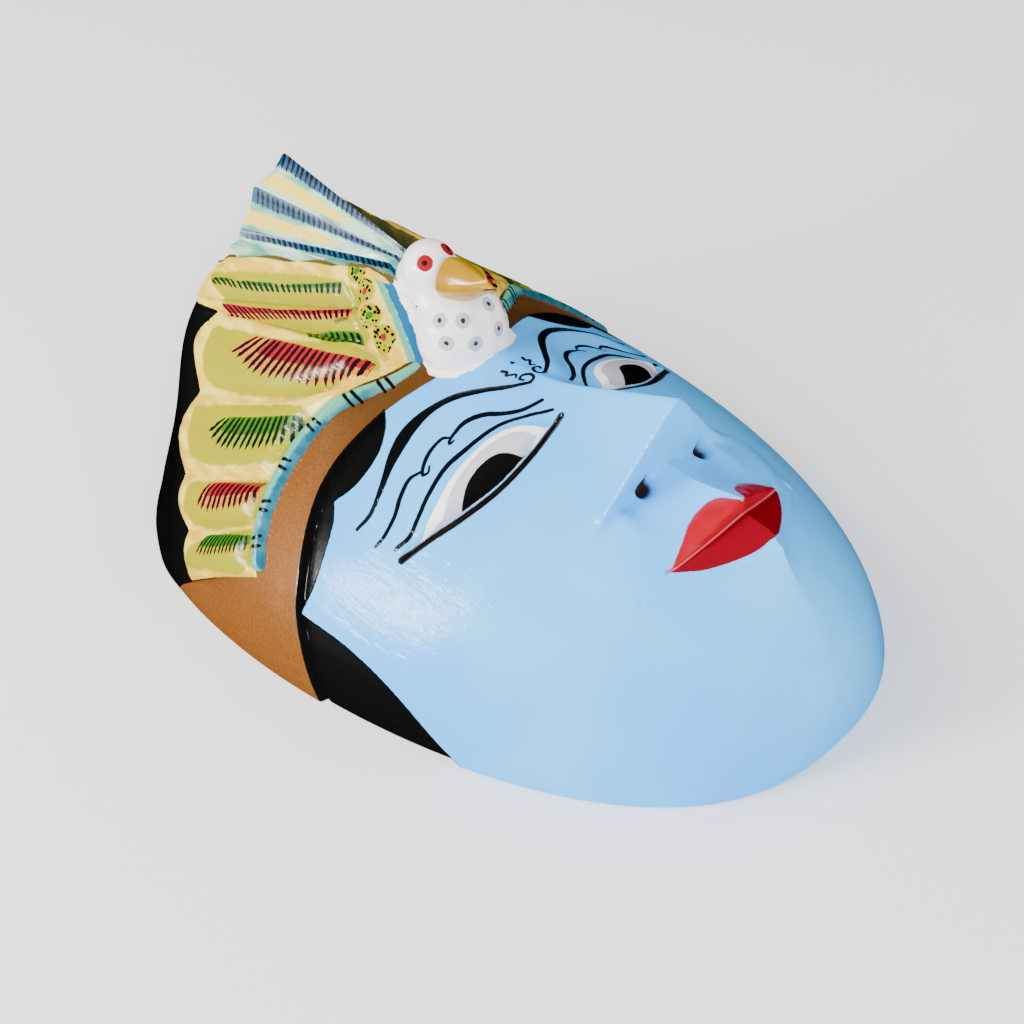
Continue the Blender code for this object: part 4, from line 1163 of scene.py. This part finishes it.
def tail_mesh():
    rows, steps = 70, 12
    share = np.linspace(0.0, 1.0, rows)
    grid, across_field = [], []
    for s in share:
        ridges = TAIL_NECK + (TAIL_END - TAIL_NECK) * s
        ridges[0, 2] -= 2.6 * max(0.0, (s - 0.93) / 0.07) ** 2
        half, field = [], []
        for k, (upper, lower) in enumerate(zip(ridges, ridges[1:])):
            for t in np.linspace(0.0, 1.0, steps, endpoint=False):
                dip = TAIL_VALLEY * s * (1.0 - np.abs(2.0 * (t + 0.05) - 1.0)) * 1.1
                half.append(upper + (lower - upper) * t - max(dip, 0.0) * TAIL_INWARD)
                field.append(k + t)
        half.append(ridges[3])
        field.append(3.0)
        half, field = np.array(half), np.array(field)
        far = half * [1.0 - 0.36 * s, 1.0, 1.0] - [0.0, 0.0, 1.5 * s] * (field[:, None] > 0.5)
        grid.append(np.vstack([half[:0:-1] * MIRROR, far]))
        across_field.append(np.concatenate([field[:0:-1], field]))
    grid, across_field = np.array(grid), np.array(across_field)
    width = grid.shape[1]
    below = grid * [0.85, 1.0, 0.0] + [0.0, 0.0, 66.0]
    points = np.vstack([grid.reshape(-1, 3), below.reshape(-1, 3)])
    shift = rows * width
    faces = []
    for r in range(rows - 1):
        for k in range(width - 1):
            a = r * width + k
            faces.append((a, a + 1, a + width + 1, a + width))
            faces.append((a + shift, a + width + shift, a + width + 1 + shift, a + 1 + shift))
        for k in (0, width - 1):
            a = r * width + k
            faces.append((a, a + width, a + width + shift, a + shift))
    for r in (0, rows - 1):
        for k in range(width - 1):
            a = r * width + k
            faces.append((a, a + 1, a + 1 + shift, a + shift))
    tail = add_object("bird_tail", mesh_of("bird_tail", points, faces))
    fields = np.concatenate([across_field.ravel(), np.full(shift, 4.0)])
    store(tail.data, "across", fields)
    store(tail.data, "along", np.concatenate([np.repeat(share, width), np.repeat(share, width)]))
    return tail


def tail_paint():
    paint = Paint("painted_tail", SEAFOAM, 0.3)
    streaks = paint.noise(300.0, 3.0, (1.0, 0.25, 1.0))
    paint.colour = paint.varied(SEAFOAM, srgb(168, 212, 184), streaks)
    across = paint.wavy(paint.field("across"), 0.12)
    along = paint.field("along")
    row = paint.math("FLOOR", paint.math("ADD", paint.field("across"), 0.06))
    within = paint.math("SUBTRACT", across, row)
    pale = paint.times(paint.span(within, 0.4, 0.5), paint.span(within, 0.86, 0.76))
    fades_in = paint.span(paint.wavy(along, 0.1), 0.3, 0.45)
    pale = paint.times(pale, fades_in, paint.math("LESS_THAN", row, 1.5))
    paint.layer(pale, srgb(236, 206, 84), 0.3)
    on_panel = paint.math("LESS_THAN", row, 2.5)
    blue = paint.times(paint.span(within, -0.09, -0.05), paint.span(within, 0.34, 0.26), on_panel)
    paint.layer(blue, paint.varied(srgb(0, 66, 106), srgb(10, 86, 122), streaks), 0.27)
    at = paint.math("MULTIPLY_ADD", along, 27.0, paint.times(row, 0.37))
    index = paint.math("FLOOR", at)
    random = paint.add("ShaderNodeTexWhiteNoise", noise_dimensions="2D")
    combined = paint.add("ShaderNodeCombineXYZ")
    paint.put(combined.inputs[0], index)
    paint.put(combined.inputs[1], row)
    paint.put(random.inputs["Vector"], combined.outputs[0])
    jitter = paint.times(paint.less(random.outputs["Value"], 0.5), 0.25)
    ends = paint.times(paint.span(within, -0.04, 0.02), paint.span(within, 0.38, 0.26))
    stroke = paint.strokes(at, index, jitter, paint.times(within, 1.7), paint.times(ends, 0.28))
    stroke = paint.times(stroke, on_panel, paint.math("LESS_THAN", along, 0.97))
    paint.layer(stroke, srgb(12, 13, 20), 0.25)
    paint.coat(0.35, 0.12)
    return paint.finish(streaks, 0.3, 0.0005)


BIRD_EYE = [(-3.9, 12.4, 89.3)]
NECK_PATCH = [(-7.0, 15.4, 77.5)]
BREAST_SPOTS = [(-8.0, 5.0, 77.9), (-4.2, 0.7, 77.5), (-9.4, 2.0, 73.2), (-3.8, -2.2, 71.7)]


def paint_bird(body):
    points = vertex_array(body.data)
    halves = points * 1.0
    halves[:, 0] = -np.abs(points[:, 0])
    for name, places in (("eye", BIRD_EYE), ("spots", BREAST_SPOTS), ("neck", NECK_PATCH)):
        gaps = [np.linalg.norm(halves - np.array(place), axis=1) for place in places]
        store(body.data, name, np.min(gaps, axis=0))
    paint = Paint("painted_bird", WHITE, 0.32)
    streaks = paint.noise(300.0, 3.0, (1.0, 0.3, 1.0))
    paint.colour = paint.varied(WHITE, srgb(226, 216, 212), streaks, 0.45, 0.8)
    spot = paint.wavy(paint.field("spots"), 0.7)
    paint.layer(paint.span(spot, 2.1, 1.8), EYE_GREY_PAINT, 0.32)
    paint.layer(paint.span(spot, 0.72, 0.56), srgb(40, 38, 50), 0.28)
    patch = paint.span(paint.wavy(paint.field("neck"), 1.2), 2.3, 2.0)
    freckles = paint.times(paint.span(paint.dots(950.0), 0.4, 0.32), patch)
    paint.layer(freckles, srgb(110, 60, 30), 0.3)
    eye_field = paint.wavy(paint.field("eye"), 0.4)
    paint.layer(paint.span(eye_field, 2.2, 2.0), RED, 0.25)
    paint.layer(paint.span(eye_field, 0.8, 0.62), srgb(30, 26, 28), 0.22)
    paint.coat(0.3, 0.15)
    body.data.materials.append(paint.finish(streaks, 0.3, 0.0004))


def paint_beak(beak):
    points = vertex_array(beak.data)
    along = (BEAK_ROOT[1] - points[:, 1]) / (BEAK_ROOT[1] - BEAK_TIP[1])
    store(beak.data, "along", along)
    level = BEAK_ROOT[2] + (BEAK_TIP[2] - BEAK_ROOT[2]) * along
    store(beak.data, "level", points[:, 2] - level)
    paint = Paint("painted_beak", YELLOW_PAINT, 0.26)
    streaks = paint.noise(260.0, 3.0, (1.0, 0.3, 1.0))
    paint.colour = paint.varied(srgb(166, 130, 0), srgb(160, 112, 0), streaks)
    level = paint.wavy(paint.field("level"), 0.5)
    along = paint.field("along")
    parting = paint.span(paint.math("ABSOLUTE", level), 0.35, 0.2)
    paint.layer(paint.times(parting, paint.span(along, 0.8, 0.86)), srgb(60, 40, 20), 0.3)
    glint = paint.span(paint.math("ABSOLUTE", paint.less(level, 1.8)), 0.3, 0.1)
    glint = paint.times(glint, paint.span(along, 0.2, 0.3), 0.6)
    paint.layer(glint, srgb(255, 232, 140), 0.2)
    paint.coat(0.2, 0.12)
    beak.data.materials.append(paint.finish(streaks, 0.25, 0.0004))


def smooth_faces(mesh, angle=0.7):
    mesh.polygons.foreach_set("use_smooth", np.ones(len(mesh.polygons), bool))
    mesh.set_sharp_from_angle(angle=angle)


def settle(piece):
    smooth_faces(piece.data)
    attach(piece, "root")
    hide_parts("mask")


def build_mask():
    mask = add_object("mask_body", whole_front())
    cutters = [hollow_cutter(), slit_cutter(np.ones(3)), slit_cutter(MIRROR)]
    for cutter in cutters:
        cut_by(mask, cutter)
    applied(mask, *cutters)
    depth = paint_mask(mask.data)
    map_mask(mask.data, depth)
    mask.data.materials.clear()
    mask.data.materials.append(mask_paint())
    settle(mask)


def build_bird():
    body = bird_mesh()
    paint_bird(body)
    settle(body)
    beak = beak_mesh()
    paint_beak(beak)
    settle(beak)
    tail = tail_mesh()
    tail.data.materials.append(tail_paint())
    settle(tail)


def area_light(name, place, aim, size, power, colour):
    data = bpy.data.lights.new(name, "AREA")
    data.shape = "RECTANGLE"
    data.size, data.size_y = size
    data.energy = power
    data.color = colour
    light = bpy.data.objects.new(name, data)
    bpy.context.scene.collection.objects.link(light)
    away = unit(np.array(place) - np.array(aim))
    side = unit(np.cross([0.0, 0.0, 1.0], away))
    up = np.cross(away, side)
    basis = np.eye(4)
    basis[:3, 0], basis[:3, 1], basis[:3, 2], basis[:3, 3] = side, up, away, place
    light.matrix_world = Matrix(basis.tolist())
    return light


def build_stage():
    floor_mesh = bpy.data.meshes.new("floor")
    made = bmesh.new()
    bmesh.ops.create_grid(made, x_segments=1, y_segments=1, size=4.0)
    made.to_mesh(floor_mesh)
    made.free()
    floor = add_object("floor", floor_mesh)
    floor.location.z = -0.0002
    paint = Paint("pale_floor", srgb(244, 243, 244), 0.7)
    floor_mesh.materials.append(paint.finish())
    world = bpy.data.worlds.new("studio")
    world.use_nodes = True
    world.node_tree.nodes["Background"].inputs["Color"].default_value = (1.0, 1.0, 1.0, 1.0)
    world.node_tree.nodes["Background"].inputs["Strength"].default_value = 1.1
    world.cycles_visibility.glossy = False
    bpy.context.scene.world = world
    middle = (0.0, 0.0, 0.03)
    key = area_light("key", (-0.75, 0.6, 1.0), middle, (0.7, 0.7), 21.0, (1.0, 0.98, 0.96))
    fill = area_light("fill", (-0.5, -1.1, 0.6), middle, (0.9, 0.9), 22.0, (0.97, 0.99, 1.0))
    floor.visible_glossy = False
    key.visible_glossy = False
    fill.visible_glossy = False
    cheek = (-0.05, -0.02, 0.03)
    area_light("window", (-0.81, 0.385, 0.3), cheek, (0.24, 0.08), 6.0, (1.0, 1.0, 1.0))


def build_camera():
    data = bpy.data.cameras.new("camera")
    data.lens = 63.48
    data.sensor_width = 36.0
    data.clip_start = 0.01
    camera = bpy.data.objects.new("camera", data)
    bpy.context.scene.collection.objects.link(camera)
    right = np.array([0.72486, -0.67582, -0.13359])
    down = np.array([-0.5247, -0.41594, -0.74276])
    ahead = np.array([0.44641, 0.60848, -0.6561])
    basis = np.eye(4)
    basis[:3, 0], basis[:3, 1], basis[:3, 2] = right, -down, -ahead
    basis[:3, 3] = np.array([-213.7, -290.7, 326.7]) * MM
    camera.matrix_world = Matrix(basis.tolist())
    bpy.context.scene.camera = camera


build_camera()
build_stage()
build_mask()
build_bird()
